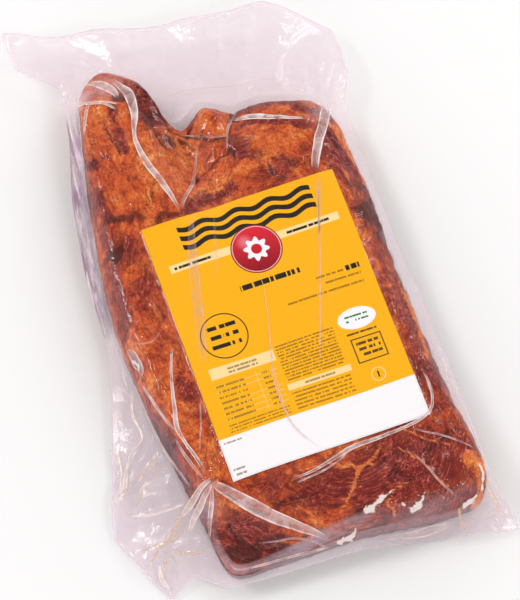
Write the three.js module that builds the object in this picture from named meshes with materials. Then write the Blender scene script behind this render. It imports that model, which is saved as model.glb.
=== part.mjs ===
// A slab of smoked bacon, vacuum packed in a clear bag, lying on its rind with the printed insert up.
// Millimetres, +Z up. X runs across the insert, Y runs along it towards the bag's open header,
// and Z = 0 is the surface that the pack lies on.
import * as THREE from "three";

// The printed insert, from which all other sizes were scaled.
const INSERT_WIDTH = 155;
const INSERT_LENGTH = 212;
const INSERT_CENTRE = new THREE.Vector2(0, 3);
const INSERT_THICKNESS = 0.6;
const INSERT_GAP = 0.35;
const INSERT_CELLS_ACROSS = 13;
const INSERT_CELLS_ALONG = 18;

// The bacon.
const SLAB_CENTRE = new THREE.Vector2(-7, 18);
const SLAB_THICKNESS = 54;
const RIND_INSET = 6;

// The welded margin of the bag, two films with a little juice between them.
const MARGIN_THICKNESS = 1.6;
const TENT_HEIGHT = 4.5;
const TENT_REACH = 8;

// How finely the rings are drawn.
const STEPS_PER_STATION = 4;
const TOP_RINGS = [0.15, 0.3, 0.43, 0.55, 0.66, 0.76, 0.85, 0.93, 1];
const SHOULDER_RINGS = [1, 0.72, 0.48, 0.28, 0.13, 0.04, 0];
const MARGIN_RINGS = [0.12, 0.3, 0.55, 0.78, 1];

// Stations round the pack, counter-clockwise from the near right corner. Each gives the slab's side, the
// height at which the margin leaves it, the margin's outer edge, and how wide the rounded shoulder is.
const STATIONS = [
  { slab: [107, -137], seam: 16, edge: [112, -146, 10], shoulder: 18 },
  { slab: [103, -91], seam: 18, edge: [113, -82, 13], shoulder: 20 },
  { slab: [101, -18], seam: 20, edge: [112, -23, 14], shoulder: 24 },
  { slab: [101, 41], seam: 22, edge: [110, 46, 16], shoulder: 26 },
  { slab: [103, 78], seam: 22, edge: [109, 82, 18], shoulder: 27 },
  { slab: [101, 128], seam: 23, edge: [110, 134, 18], shoulder: 27 },
  { slab: [99, 155], seam: 24, edge: [110, 166, 20], shoulder: 24 },
  { slab: [89, 174], seam: 25, edge: [123, 196, 24], shoulder: 20 },
  { slab: [66, 183], seam: 26, edge: [123, 234, 28], shoulder: 16 },
  { slab: [42, 188], seam: 27, edge: [77, 269, 37], shoulder: 15 },
  { slab: [22, 188], seam: 27, edge: [35, 273, 33], shoulder: 15 },
  { slab: [3, 198], seam: 27, edge: [-5, 281, 28], shoulder: 16 },
  { slab: [-19, 188], seam: 27, edge: [-41, 289, 31], shoulder: 18 },
  { slab: [-30, 209], seam: 27, edge: [-80, 300, 27], shoulder: 20 },
  { slab: [-38, 236], seam: 28, edge: [-125, 313, 27], shoulder: 18 },
  { slab: [-64, 253], seam: 29, edge: [-123, 282, 25], shoulder: 18 },
  { slab: [-84, 242], seam: 28, edge: [-96, 257, 24], shoulder: 16 },
  { slab: [-94, 210], seam: 26, edge: [-102, 214, 22], shoulder: 12 },
  { slab: [-105, 162], seam: 22, edge: [-116, 165, 18], shoulder: 13 },
  { slab: [-115, 105], seam: 20, edge: [-126, 102, 16], shoulder: 15 },
  { slab: [-121, 46], seam: 18, edge: [-129, 38, 13], shoulder: 16 },
  { slab: [-119, -18], seam: 18, edge: [-143, -11, 9], shoulder: 17 },
  { slab: [-113, -70], seam: 18, edge: [-163, -69, 6], shoulder: 16 },
  { slab: [-109, -101], seam: 18, edge: [-172, -101, 5], shoulder: 16 },
  { slab: [-106, -128], seam: 18, edge: [-146, -159, 4], shoulder: 14 },
  { slab: [-104, -149], seam: 18, edge: [-124, -150, 5], shoulder: 13 },
  { slab: [-97, -163], seam: 18, edge: [-103, -169, 15], shoulder: 11 },
  { slab: [-55, -166], seam: 19, edge: [-56, -172, 16], shoulder: 11 },
  { slab: [0, -166], seam: 16, edge: [0, -173, 11], shoulder: 13 },
  { slab: [46, -171], seam: 12, edge: [45, -180, 3], shoulder: 13 },
  { slab: [73, -173], seam: 11, edge: [79, -187, 4], shoulder: 13 },
  { slab: [94, -170], seam: 11, edge: [116, -195, 5], shoulder: 14 },
  { slab: [105, -158], seam: 13, edge: [113, -168, 8], shoulder: 16 },
];

// Rises (+) and hollows (-) of the slab's face: place, reach along X and Y, turn in degrees, and height.
const RELIEF = [
  { at: [-66, 174], reach: [27, 69], turn: 8, height: 3.7 },
  { at: [-24, 163], reach: [15, 42], turn: 4, height: -11.9 },
  { at: [21, 179], reach: [10, 26], turn: -10, height: -6.4 },
  { at: [3, 186], reach: [14, 13], turn: 0, height: 2.7 },
  { at: [51, 155], reach: [31, 22], turn: 0, height: 2.3 },
  { at: [90, 119], reach: [13, 55], turn: 0, height: -4.6 },
  { at: [55, -139], reach: [31, 18], turn: 0, height: 1.8 },
  { at: [-31, -121], reach: [42, 11], turn: 0, height: 1.4 },
  { at: [31, -124], reach: [55, 5], turn: 12, height: -1.5 },
  { at: [-95, 40], reach: [11, 24], turn: 0, height: -2.7 },
  { at: [-95, 110], reach: [9, 27], turn: 0, height: 1.8 },
];

// The near left corner, where the upper layer stops short along a ridge and the lower layer shows.
const RIDGE_START = new THREE.Vector3(-95, -95, 54);
const RIDGE_END = new THREE.Vector3(-7, -174, 46);
const LOWER_CORNER = new THREE.Vector3(-103, -157, 22);
const CORNER_BLEND = 11;
const CORNER_HOLLOW = 4;
const HOLLOW_FROM = [2, 14];
const HOLLOW_TO = [16, 31];

// The face's gentle roll, and how the slab gets thinner towards the header.
const ROLL_HEIGHT = 0.9;
const ROLL_ACROSS = 109;
const ROLL_ALONG = 155;
const THINNING = 4;
const THINNING_SPAN = [110, 247];

// Waves and pulled creases of the bag's header and of its near left flap.
const HEADER_WAVE = 3;
const HEADER_WAVE_LENGTH = 68;
const HEADER_SPAN = [197, 260];
const FLAP_CREASE = 2.2;
const FLAP_CREASES_PER_TURN = 9;
const FLAP_GATHER = new THREE.Vector2(-102, -87);
const FLAP_SPAN_X = [108, 137];
const FLAP_SPAN_Y = [-18, 37];
const DROOP_POWER = 0.8;

const smoothstep = THREE.MathUtils.smoothstep;
const lerp = THREE.MathUtils.lerp;

// A smooth hump of height 1 at its middle that has died away at its reach.
function hump({ at, reach, turn }, x, y) {
  const p = new THREE.Vector2(x - at[0], y - at[1]);
  p.rotateAround(new THREE.Vector2(), -THREE.MathUtils.degToRad(turn));
  return Math.exp(-((p.x / reach[0]) ** 2) - (p.y / reach[1]) ** 2);
}

// The plane of the near left corner, through the ridge and the lower layer's corner.
const cornerPlane = new THREE.Plane().setFromCoplanarPoints(RIDGE_START, LOWER_CORNER, RIDGE_END);

function cornerHeight(x, y) {
  const { normal, constant } = cornerPlane;
  return -(constant + normal.x * x + normal.y * y) / normal.z;
}

function smoothMin(a, b, blend) {
  const h = Math.max(blend - Math.abs(a - b), 0) / blend;
  return Math.min(a, b) - (h * h * blend) / 4;
}

// Height of the bacon's face, before its shoulders are rounded off.
function faceHeight(x, y) {
  let z = SLAB_THICKNESS;
  for (const form of RELIEF) z += form.height * hump(form, x, y);
  z += ROLL_HEIGHT * Math.sin((2 * Math.PI * x) / ROLL_ACROSS) * Math.cos((2 * Math.PI * y) / ROLL_ALONG);
  z -= THINNING * smoothstep(y, ...THINNING_SPAN);
  const slope = cornerHeight(x, y);
  const belowRidge = z - slope;
  const hollow = smoothstep(belowRidge, ...HOLLOW_FROM) * (1 - smoothstep(belowRidge, ...HOLLOW_TO));
  return smoothMin(z, slope - CORNER_HOLLOW * hollow, CORNER_BLEND);
}

// A closed curve through one entry of the stations, with the margin's edge or the slab's side as a point.
function loopThrough(points) {
  return new THREE.CatmullRomCurve3(points, true, "centripetal");
}

const slabLoop = loopThrough(STATIONS.map((s) => new THREE.Vector3(...s.slab, s.seam)));
const edgeLoop = loopThrough(STATIONS.map((s) => new THREE.Vector3(...s.edge)));
const SAMPLES = STATIONS.length * STEPS_PER_STATION;

// What the rings need to know at each sample round the pack.
function sampleRound(index) {
  const along = index / SAMPLES;
  const station = Math.floor(index / STEPS_PER_STATION);
  const next = STATIONS[(station + 1) % STATIONS.length];
  const part = (index % STEPS_PER_STATION) / STEPS_PER_STATION;
  const shoulder = lerp(STATIONS[station].shoulder, next.shoulder, part);
  const side = slabLoop.getPoint(along);
  const edge = edgeLoop.getPoint(along);
  const reach = Math.hypot(side.x - SLAB_CENTRE.x, side.y - SLAB_CENTRE.y);
  return { side, edge, shoulder, reach, width: Math.hypot(edge.x - side.x, edge.y - side.y) };
}

const round = Array.from({ length: SAMPLES }, (_, i) => sampleRound(i));

// A point on the way from the slab's centre to its side, a given distance short of the side.
function inwards({ side, reach }, inset) {
  const part = 1 - inset / reach;
  return [lerp(SLAB_CENTRE.x, side.x, part), lerp(SLAB_CENTRE.y, side.y, part)];
}

function facePoint(sample, part) {
  const [x, y] = inwards(sample, sample.reach - part * (sample.reach - sample.shoulder));
  return [x, y, faceHeight(x, y)];
}

function shoulderPoint(sample, part) {
  const [x, y] = inwards(sample, part * sample.shoulder);
  const top = faceHeight(x, y);
  const low = Math.min(sample.side.z + MARGIN_THICKNESS / 2 + TENT_HEIGHT, top);
  return [x, y, low + (top - low) * Math.sqrt(1 - (1 - part) ** 2)];
}

// The margin's own waves: long ones across the header and creases that fan out over the near left flap.
function marginWave(x, y, part) {
  const ripple = Math.sin((2 * Math.PI * x) / HEADER_WAVE_LENGTH);
  const header = HEADER_WAVE * smoothstep(y, ...HEADER_SPAN) * ripple;
  const fan = Math.atan2(y - FLAP_GATHER.y, x - FLAP_GATHER.x);
  const nearLeft = smoothstep(-x, ...FLAP_SPAN_X) * smoothstep(-y, ...FLAP_SPAN_Y);
  const flap = FLAP_CREASE * nearLeft * Math.sin(FLAP_CREASES_PER_TURN * fan);
  return part * (header + flap);
}

function marginMiddle({ side, edge }, part) {
  const x = lerp(side.x, edge.x, part);
  const y = lerp(side.y, edge.y, part);
  const droop = lerp(side.z, edge.z, part ** DROOP_POWER);
  return [x, y, Math.max(droop + marginWave(x, y, part), MARGIN_THICKNESS / 2)];
}

function marginTop(sample, part) {
  const [x, y, z] = marginMiddle(sample, part);
  const tent = TENT_HEIGHT * Math.exp((-part * sample.width) / TENT_REACH);
  return [x, y, z + MARGIN_THICKNESS / 2 + tent * (1 - part)];
}

function marginUnder(sample, part) {
  const [x, y, z] = marginMiddle(sample, part);
  return [x, y, z - MARGIN_THICKNESS / 2];
}

// The wall below the margin, down to the rind: how far in, and what share of the seam's height.
const WALL = [
  { inset: 0.4, height: 0.8 },
  { inset: 1.4, height: 0.32 },
  { inset: 3.2, height: 0.08 },
  { inset: RIND_INSET, height: 0 },
];

function wallPoint(sample, { inset, height }) {
  const [x, y] = inwards(sample, inset);
  return [x, y, height * (sample.side.z - MARGIN_THICKNESS / 2)];
}

// A closed body made of rings of equal length, from a point on top to a point underneath.
function bodyOfRings(topPoint, rings, bottomPoint) {
  const positions = [...topPoint, ...rings.flat(2), ...bottomPoint];
  const count = rings[0].length;
  const at = (ring, i) => 1 + ring * count + (i % count);
  const last = 1 + rings.length * count;
  const index = [];
  for (let i = 0; i < count; i++) {
    index.push(0, at(0, i), at(0, i + 1));
    for (let ring = 0; ring + 1 < rings.length; ring++) {
      index.push(at(ring, i), at(ring + 1, i), at(ring + 1, i + 1));
      index.push(at(ring, i), at(ring + 1, i + 1), at(ring, i + 1));
    }
    index.push(last, at(rings.length - 1, i + 1), at(rings.length - 1, i));
  }
  const geometry = new THREE.BufferGeometry();
  geometry.setAttribute("position", new THREE.Float32BufferAttribute(positions, 3));
  geometry.setIndex(index);
  geometry.computeVertexNormals();
  return geometry;
}

// The sealed bag with the slab in it: face, shoulders, margin, wall and rind, in that order.
function vacuumBag() {
  const rings = [
    ...TOP_RINGS.slice(0, -1).map((part) => round.map((s) => facePoint(s, part))),
    ...SHOULDER_RINGS.map((part) => round.map((s) => shoulderPoint(s, part))),
    ...MARGIN_RINGS.map((part) => round.map((s) => marginTop(s, part))),
    ...[...MARGIN_RINGS].reverse().map((part) => round.map((s) => marginUnder(s, part))),
    ...WALL.map((level) => round.map((s) => wallPoint(s, level))),
  ];
  const { x, y } = SLAB_CENTRE;
  const material = new THREE.MeshStandardMaterial({ color: 0xa04a30, roughness: 0.25, metalness: 0 });
  const mesh = new THREE.Mesh(bodyOfRings([x, y, faceHeight(x, y)], rings, [x, y, 0]), material);
  mesh.name = "vacuum_bag";
  return mesh;
}

// The highest that a body's own facets reach within half a cell of a place.
const LOOK_FROM = 200;
const LOOK_DOWN = new THREE.Vector3(0, 0, -1);

function highestAround(mesh, x, y, cell) {
  let highest = -Infinity;
  for (const dx of [-0.5, 0, 0.5]) {
    for (const dy of [-0.5, 0, 0.5]) {
      const from = new THREE.Vector3(x + dx * cell.x, y + dy * cell.y, LOOK_FROM);
      const [hit] = new THREE.Raycaster(from, LOOK_DOWN).intersectObject(mesh);
      highest = Math.max(highest, hit.point.z);
    }
  }
  return highest;
}

// The printed insert: a thin sheet laid over the face of the slab, stiff enough to bridge its small hollows.
function printedInsert(bag) {
  const across = INSERT_CELLS_ACROSS + 1;
  const along = INSERT_CELLS_ALONG + 1;
  const cell = new THREE.Vector2(INSERT_WIDTH / INSERT_CELLS_ACROSS, INSERT_LENGTH / INSERT_CELLS_ALONG);
  const laid = [];
  for (let j = 0; j < along; j++) {
    for (let i = 0; i < across; i++) {
      const x = INSERT_CENTRE.x + cell.x * i - INSERT_WIDTH / 2;
      const y = INSERT_CENTRE.y + cell.y * j - INSERT_LENGTH / 2;
      laid.push(new THREE.Vector3(x, y, highestAround(bag, x, y, cell) + INSERT_GAP));
    }
  }
  const upper = laid.map((p) => [p.x, p.y, p.z + INSERT_THICKNESS]);
  const lower = laid.map((p) => [p.x, p.y, p.z]);
  const positions = [...upper, ...lower].flat();
  const under = across * along;
  const at = (i, j) => j * across + i;
  const index = [];
  for (let j = 0; j < INSERT_CELLS_ALONG; j++) {
    for (let i = 0; i < INSERT_CELLS_ACROSS; i++) {
      const [a, b, c, d] = [at(i, j), at(i + 1, j), at(i + 1, j + 1), at(i, j + 1)];
      index.push(a, b, c, a, c, d);
      index.push(under + a, under + c, under + b, under + a, under + d, under + c);
    }
  }
  const rim = [];
  for (let i = 0; i < INSERT_CELLS_ACROSS; i++) rim.push(at(i, 0));
  for (let j = 0; j < INSERT_CELLS_ALONG; j++) rim.push(at(INSERT_CELLS_ACROSS, j));
  for (let i = INSERT_CELLS_ACROSS; i > 0; i--) rim.push(at(i, INSERT_CELLS_ALONG));
  for (let j = INSERT_CELLS_ALONG; j > 0; j--) rim.push(at(0, j));
  rim.forEach((a, k) => {
    const b = rim[(k + 1) % rim.length];
    index.push(a, under + a, under + b, a, under + b, b);
  });
  const geometry = new THREE.BufferGeometry();
  geometry.setAttribute("position", new THREE.Float32BufferAttribute(positions, 3));
  geometry.setIndex(index);
  geometry.computeVertexNormals();
  const material = new THREE.MeshStandardMaterial({ color: 0xfbb811, roughness: 0.45, metalness: 0 });
  const mesh = new THREE.Mesh(geometry, material);
  mesh.name = "printed_insert";
  return mesh;
}

// The pack, moved so that the origin is under the middle of its box.
const pack = new THREE.Group();
const bag = vacuumBag();
pack.add(bag, printedInsert(bag));
const box = new THREE.Box3().setFromObject(pack);
const middle = box.getCenter(new THREE.Vector3());
pack.position.set(-middle.x, -middle.y, -box.min.z);

export default pack;
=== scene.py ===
# %% [markdown]
# # A slab of smoked bacon in a clear vacuum bag
#
# The real thing is a whole smoked pork belly, sealed in a clear bag with a printed paper insert on top.
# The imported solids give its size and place. This lesson replaces them with the slab itself, the insert,
# the film drawn tight over both, the folds pressed into the film and the juice caught in its margins.

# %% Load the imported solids
import functools
import math

import bpy
import numpy as np
from mathutils import Matrix, Vector, noise
from mathutils.bvhtree import BVHTree


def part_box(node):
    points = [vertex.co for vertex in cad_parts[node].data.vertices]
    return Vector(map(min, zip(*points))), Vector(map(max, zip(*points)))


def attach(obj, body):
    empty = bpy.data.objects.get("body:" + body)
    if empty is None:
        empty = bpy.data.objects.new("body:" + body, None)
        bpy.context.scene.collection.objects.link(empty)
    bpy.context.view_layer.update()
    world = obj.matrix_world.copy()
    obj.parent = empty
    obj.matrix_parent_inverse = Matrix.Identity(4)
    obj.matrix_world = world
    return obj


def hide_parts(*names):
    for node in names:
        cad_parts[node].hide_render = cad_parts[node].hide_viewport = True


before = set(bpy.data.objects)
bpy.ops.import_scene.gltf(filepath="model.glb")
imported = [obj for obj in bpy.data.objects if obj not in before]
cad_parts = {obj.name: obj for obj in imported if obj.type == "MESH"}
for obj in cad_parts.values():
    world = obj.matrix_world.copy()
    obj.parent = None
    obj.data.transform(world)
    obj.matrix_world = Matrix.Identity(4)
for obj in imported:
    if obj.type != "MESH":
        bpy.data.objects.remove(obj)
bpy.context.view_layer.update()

# %% [markdown]
# ## One set of measures
#
# All forms are worked out in plan millimetres: X across the insert, Y along it towards the loose header,
# Z up from the table. The insert's own solid says where that plan lies in the model, so nothing is fitted
# by eye. Only the last step of each mesh turns millimetres into metres.

# %% From plan millimetres to the model's metres
MM = 0.001
INSERT_WIDTH = 155
INSERT_LENGTH = 212
INSERT_CENTRE = (0, 3)

insert_low, insert_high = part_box("printed_insert")
PLAN_ORIGIN = np.array(
    [
        (insert_low[0] + insert_high[0]) / 2 - INSERT_CENTRE[0] * MM,
        (insert_low[1] + insert_high[1]) / 2 - INSERT_CENTRE[1] * MM,
        0.0,
    ]
)
print("the plan's origin lies at", PLAN_ORIGIN.round(5))


def to_model(points):
    """Plan millimetres as metres in the model's own frame."""
    return np.asarray(points, float) * MM + PLAN_ORIGIN


# %% [markdown]
# ## The outline of the pack
#
# Each station round the pack holds a point on the slab's side, the height at which the bag's welded margin
# leaves it, the margin's outer edge, and how wide the slab's rounded shoulder is. Two smooth closed curves
# run through them. A curve through a few good points bends like the real thing and is easy to correct.

# %% Stations round the slab, counter-clockwise from the near right corner
STATIONS = (
    # slab x, y, seam z, edge x, y, z, shoulder
    (107, -137, 16, 112, -146, 10, 18),
    (103, -91, 18, 113, -82, 13, 20),
    (101, -18, 20, 112, -23, 14, 24),
    (101, 41, 22, 110, 46, 16, 26),
    (103, 78, 22, 109, 82, 18, 27),
    (101, 128, 23, 110, 134, 18, 27),
    (99, 155, 24, 110, 166, 20, 24),
    (89, 174, 25, 123, 196, 24, 20),
    (66, 183, 26, 123, 234, 28, 16),
    (42, 188, 27, 77, 269, 37, 15),
    (22, 188, 27, 35, 273, 33, 15),
    (3, 198, 27, -5, 281, 28, 16),
    (-19, 188, 27, -41, 289, 31, 18),
    (-30, 209, 27, -80, 300, 27, 20),
    (-38, 236, 28, -125, 313, 27, 18),
    (-64, 253, 29, -123, 282, 25, 18),
    (-84, 242, 28, -96, 257, 24, 16),
    (-94, 210, 26, -102, 214, 22, 12),
    (-105, 162, 22, -116, 165, 18, 13),
    (-115, 105, 20, -126, 102, 16, 15),
    (-121, 46, 18, -129, 38, 13, 16),
    (-119, -18, 18, -143, -11, 9, 17),
    (-113, -70, 18, -163, -69, 6, 16),
    (-109, -101, 18, -172, -101, 5, 16),
    (-106, -128, 18, -146, -159, 4, 14),
    (-104, -149, 18, -124, -150, 5, 13),
    (-97, -163, 18, -103, -169, 15, 11),
    (-55, -166, 19, -56, -172, 16, 11),
    (0, -166, 16, 0, -173, 11, 13),
    (46, -171, 12, 45, -180, 3, 13),
    (73, -173, 11, 79, -187, 4, 13),
    (94, -170, 11, 116, -195, 5, 14),
    (105, -158, 13, 113, -168, 8, 16),
)
SLAB_CENTRE = np.array([-7.0, 18.0])
STRAIGHTNESS = 0.7
FINE_STEPS = 40
stations = np.array(STATIONS, float)


def closed_curve(points, places):
    """Points on the closed centripetal curve through points; places run from 0 to 1 round it."""
    count = len(points)
    spot = np.asarray(places) * count
    first = np.floor(spot).astype(int)
    part = (spot - first)[:, None]
    p0, p1, p2, p3 = (points[(first + k) % count] for k in (-1, 0, 1, 2))
    d0, d1, d2 = (
        np.linalg.norm(b - a, axis=1)[:, None] ** 0.5 for a, b in ((p0, p1), (p1, p2), (p2, p3))
    )
    start = ((p1 - p0) / d0 - (p2 - p0) / (d0 + d1) + (p2 - p1) / d1) * d1
    end = ((p2 - p1) / d1 - (p3 - p1) / (d1 + d2) + (p3 - p2) / d2) * d1
    cubic = 2 * p1 - 2 * p2 + start + end
    square = -3 * p1 + 3 * p2 - 2 * start - end
    return p1 + start * part + square * part**2 + cubic * part**3


def even_places(count):
    """Places round the pack that are evenly spaced along the mean of its slab and edge curves."""
    fine = np.linspace(0, 1, FINE_STEPS * len(stations), endpoint=False)
    steps = 0
    for columns in (slice(0, 3), slice(3, 6)):
        curve = closed_curve(stations[:, columns], fine)
        steps = steps + np.linalg.norm(np.roll(curve, -1, axis=0) - curve, axis=1)
    travelled = np.concatenate([[0], np.cumsum(steps)])
    wanted = np.linspace(0, travelled[-1], count, endpoint=False)
    return np.interp(wanted, travelled, np.append(fine, 1.0))


def round_the_pack(count):
    """The slab's side, the margin's edge and the shoulder's width at count places round the pack."""
    places = even_places(count)
    side = closed_curve(stations[:, 0:3], places)
    edge = closed_curve(stations[:, 3:6], places)
    closed = np.concatenate([stations, stations[:1]])
    at = places * len(stations)
    straight = [np.interp(at, np.arange(len(closed)), closed[:, k]) for k in range(3, 7)]
    edge = edge + STRAIGHTNESS * (np.column_stack(straight[:3]) - edge)
    return side, edge, straight[3]


# %% [markdown]
# ## The height of the bacon's face
#
# A belly is nearly flat, so its face is one height for each place in plan. Soft humps and hollows shape it:
# the long lobe at the far left, the trough beside it, the small middle lobe, and the near left corner,
# where the upper layer stops along a ridge and the layer below it shows.

# %% Face height
SLAB_THICKNESS = 54
RELIEF = (
    # x, y, reach across, reach along, turn in degrees, height
    (-66, 174, 27, 69, 8, 3.7),
    (-24, 163, 15, 42, 4, -11.9),
    (21, 179, 10, 26, -10, -6.4),
    (3, 186, 14, 13, 0, 2.7),
    (51, 155, 31, 22, 0, 2.3),
    (90, 119, 13, 55, 0, -4.6),
    (55, -139, 31, 18, 0, 1.8),
    (-31, -121, 42, 11, 0, 1.4),
    (31, -124, 55, 5, 12, -1.5),
    (-95, 40, 11, 24, 0, -2.7),
    (-95, 110, 9, 27, 0, 1.8),
)
RIDGE_START = np.array([-95.0, -95.0, 54.0])
RIDGE_END = np.array([-7.0, -174.0, 46.0])
LOWER_CORNER = np.array([-103.0, -157.0, 22.0])
CORNER_BLEND = 11
CORNER_HOLLOW = 4
HOLLOW_FROM = (2, 14)
HOLLOW_TO = (16, 31)
ROLL_HEIGHT = 0.9
ROLL_ACROSS = 109
ROLL_ALONG = 155
THINNING = 4
THINNING_SPAN = (110, 247)

corner_normal = np.cross(LOWER_CORNER - RIDGE_START, RIDGE_END - RIDGE_START)


def smoothstep(value, low, high):
    """0 below low, 1 above high, smooth between."""
    part = np.clip((np.asarray(value, float) - low) / (high - low), 0, 1)
    return part * part * (3 - 2 * part)


def hump(x, y, at_x, at_y, reach_x, reach_y, turn=0.0):
    """A smooth hump, 1 at its middle, that dies away at its reach."""
    angle = math.radians(turn)
    along = (x - at_x) * math.cos(angle) + (y - at_y) * math.sin(angle)
    across = (y - at_y) * math.cos(angle) - (x - at_x) * math.sin(angle)
    return np.exp(-((along / reach_x) ** 2) - (across / reach_y) ** 2)


def corner_height(x, y):
    """Height of the sloping plane that the near left corner is cut back to."""
    offset = corner_normal[0] * (x - RIDGE_START[0]) + corner_normal[1] * (y - RIDGE_START[1])
    return RIDGE_START[2] - offset / corner_normal[2]


def face_height(x, y):
    """Height of the bag over the bacon's face, before its shoulders are rounded off."""
    z = SLAB_THICKNESS + 0 * x
    for at_x, at_y, reach_x, reach_y, turn, height in RELIEF:
        z = z + height * hump(x, y, at_x, at_y, reach_x, reach_y, turn)
    z = z + ROLL_HEIGHT * np.sin(2 * np.pi * x / ROLL_ACROSS) * np.cos(2 * np.pi * y / ROLL_ALONG)
    z = z - THINNING * smoothstep(y, *THINNING_SPAN)
    slope = corner_height(x, y)
    below = z - slope
    slope = slope - CORNER_HOLLOW * smoothstep(below, *HOLLOW_FROM) * (1 - smoothstep(below, *HOLLOW_TO))
    overlap = np.maximum(CORNER_BLEND - np.abs(z - slope), 0) / CORNER_BLEND
    return np.minimum(z, slope) - overlap**2 * CORNER_BLEND / 4


middle_height = float(face_height(*np.array(INSERT_CENTRE, float)))
print("face height at the insert's middle:", round(middle_height, 1), "mm")

# %% [markdown]
# ## Meshes made of rings
#
# Slab and film are both closed bodies drawn as rings round the same centre, from the middle of the top to
# the middle of the underside. Rings keep a closed body closed, put the points where the edges bend, and
# let one function build both.

# %% Ring bodies and other mesh helpers
AROUND = 600
MARGIN_THICKNESS = 1.6
TENT_HEIGHT = 4.5
TENT_REACH = 8
NOISE_SHIFT = (3.1, 5.7, 1.3)


def make_piece(name, vertices, faces):
    """A smooth shaded object from plan millimetres and faces, linked to the scene."""
    mesh = bpy.data.meshes.new(name)
    mesh.from_pydata(to_model(vertices).tolist(), [], faces)
    mesh.validate()
    mesh.shade_smooth()
    piece = bpy.data.objects.new(name, mesh)
    bpy.context.collection.objects.link(piece)
    print(f"{name}: {len(mesh.vertices)} points, {len(mesh.polygons)} faces")
    return piece


def ring_faces(ring_count):
    """Quads between rings of points, with a fan to a first and a last single point."""
    here = np.arange(AROUND)
    after = (here + 1) % AROUND
    fan = [(0, 1 + a, 1 + b) for a, b in zip(here, after)]
    quads = []
    for ring in range(ring_count - 1):
        upper, lower = 1 + ring * AROUND, 1 + (ring + 1) * AROUND
        quads.append(np.stack([upper + here, lower + here, lower + after, upper + after], axis=1))
    last = 1 + ring_count * AROUND
    base = last - AROUND
    closing = [(last, base + b, base + a) for a, b in zip(here, after)]
    return fan + np.concatenate(quads).tolist() + closing


def ring_body(name, grid, centre_top, centre_under):
    """A closed body from a grid of rings and the middle points of its top and underside."""
    points = np.concatenate([[centre_top], grid.reshape(-1, 3), [centre_under]])
    return make_piece(name, points, ring_faces(len(grid)))


def grid_normals(grid):
    """Outward unit normals of a grid of rings, taken from each point's neighbours."""
    outwards = np.gradient(grid, axis=0)
    onwards = np.roll(grid, -1, axis=1) - np.roll(grid, 1, axis=1)
    normals = np.cross(outwards, onwards)
    return normals / np.maximum(np.linalg.norm(normals, axis=2, keepdims=True), 1e-9)


def on_body(values):
    """Numbers on a grid of rings, with the two middle points' numbers added."""
    values = np.asarray(values, float)
    first, last = values[0].mean(axis=0), values[-1].mean(axis=0)
    return np.concatenate([[first], values.reshape(-1, *values.shape[2:]), [last]])


def inwards(side, inset):
    """Places on the way from the slab's side to its centre, a distance short of the side."""
    spoke = side[:, :2] - SLAB_CENTRE
    reach = np.linalg.norm(spoke, axis=1)
    return SLAB_CENTRE + spoke * (1 - inset / reach)[:, None]


def add_numbers(piece, name, values):
    """Keeps one number for each point under a name that a finish can read."""
    layer = piece.data.attributes.new(name, "FLOAT", "POINT")
    layer.data.foreach_set("value", np.asarray(values, np.float32))


def add_vectors(piece, name, values):
    """Keeps three numbers for each point under one name."""
    layer = piece.data.attributes.new(name, "FLOAT_VECTOR", "POINT")
    layer.data.foreach_set("vector", np.asarray(values, np.float32).ravel())


def lumps(points, size, seed, octaves=3):
    """Cloudy noise, about -1 to 1, whose lumps are about size millimetres apart."""
    shift = Vector([seed * step for step in NOISE_SHIFT])
    return np.array([noise.fractal(Vector(p) / size + shift, 1.0, 2.0, octaves) for p in points])


def plan_lumps(x, y, size, seed, octaves=2):
    """The same noise for places in plan alone, so that it doesn't change with height."""
    flat = np.column_stack([x.ravel(), y.ravel(), 0 * x.ravel()])
    return lumps(flat, size, seed, octaves).reshape(x.shape)


# %% [markdown]
# ## The slab
#
# Smoked belly is uneven: muscle shows as bundles of fibre, fat as smoother seams that stand a little proud,
# and smoke leaves darker patches. Some darker patches are painted shade instead: on the slab's near end
# wall, along its left side and in its cracks. Those fields are worked out once per point. They push the
# surface in and out, and they're kept on the mesh so that the colour follows the same form.

# %% Rings of the slab
FILM_CLEARANCE = 1.2
FACE_PARTS = np.concatenate([[0.1, 0.2, 0.28, 0.35], np.linspace(0.4, 1, 66)])
SHOULDER_PARTS = np.sin(np.linspace(np.pi / 2, 0, 17))[1:]
# Down the slab's side: distance inside its widest place, and share of that place's height.
SLAB_WALL = (
    (0.3, 0.8), (0.6, 0.62), (0.9, 0.46), (1.2, 0.32), (1.7, 0.2), (2.6, 0.1), (4.0, 0.03), (6.0, 0.0),
)
SLAB_BOTTOM = 0.5

side, edge, shoulder = round_the_pack(AROUND)
spoke_reach = np.linalg.norm(side[:, :2] - SLAB_CENTRE, axis=1)


def shoulder_height(x, y, side, part):
    """Height of the rounded shoulder; part runs from 0 at the side to 1 at the face."""
    top = face_height(x, y)
    low = np.minimum(side[:, 2] + MARGIN_THICKNESS / 2 + TENT_HEIGHT, top)
    return low + (top - low) * np.sqrt(np.maximum(1 - (1 - part) ** 2, 0))


def top_grid():
    """The bag's own surface over the slab: its face, then its rounded shoulder."""
    rings = []
    for part in FACE_PARTS:
        xy = inwards(side, spoke_reach - part * (spoke_reach - shoulder))
        rings.append(np.column_stack([xy, face_height(*xy.T)]))
    for part in SHOULDER_PARTS:
        xy = inwards(side, part * shoulder)
        rings.append(np.column_stack([xy, shoulder_height(*xy.T, side, part)]))
    return np.array(rings)


bag_top = top_grid()
bag_normals = grid_normals(bag_top)
slab_top = bag_top - bag_normals * FILM_CLEARANCE
slab_wall = []
for inset, share in SLAB_WALL:
    xy = inwards(side, inset + FILM_CLEARANCE)
    slab_wall.append(np.column_stack([xy, share * (slab_top[-1, :, 2] - SLAB_BOTTOM) + SLAB_BOTTOM]))
slab_grid = np.concatenate([slab_top, slab_wall])
print("the slab has", len(slab_grid), "rings of", AROUND, "points")
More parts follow.
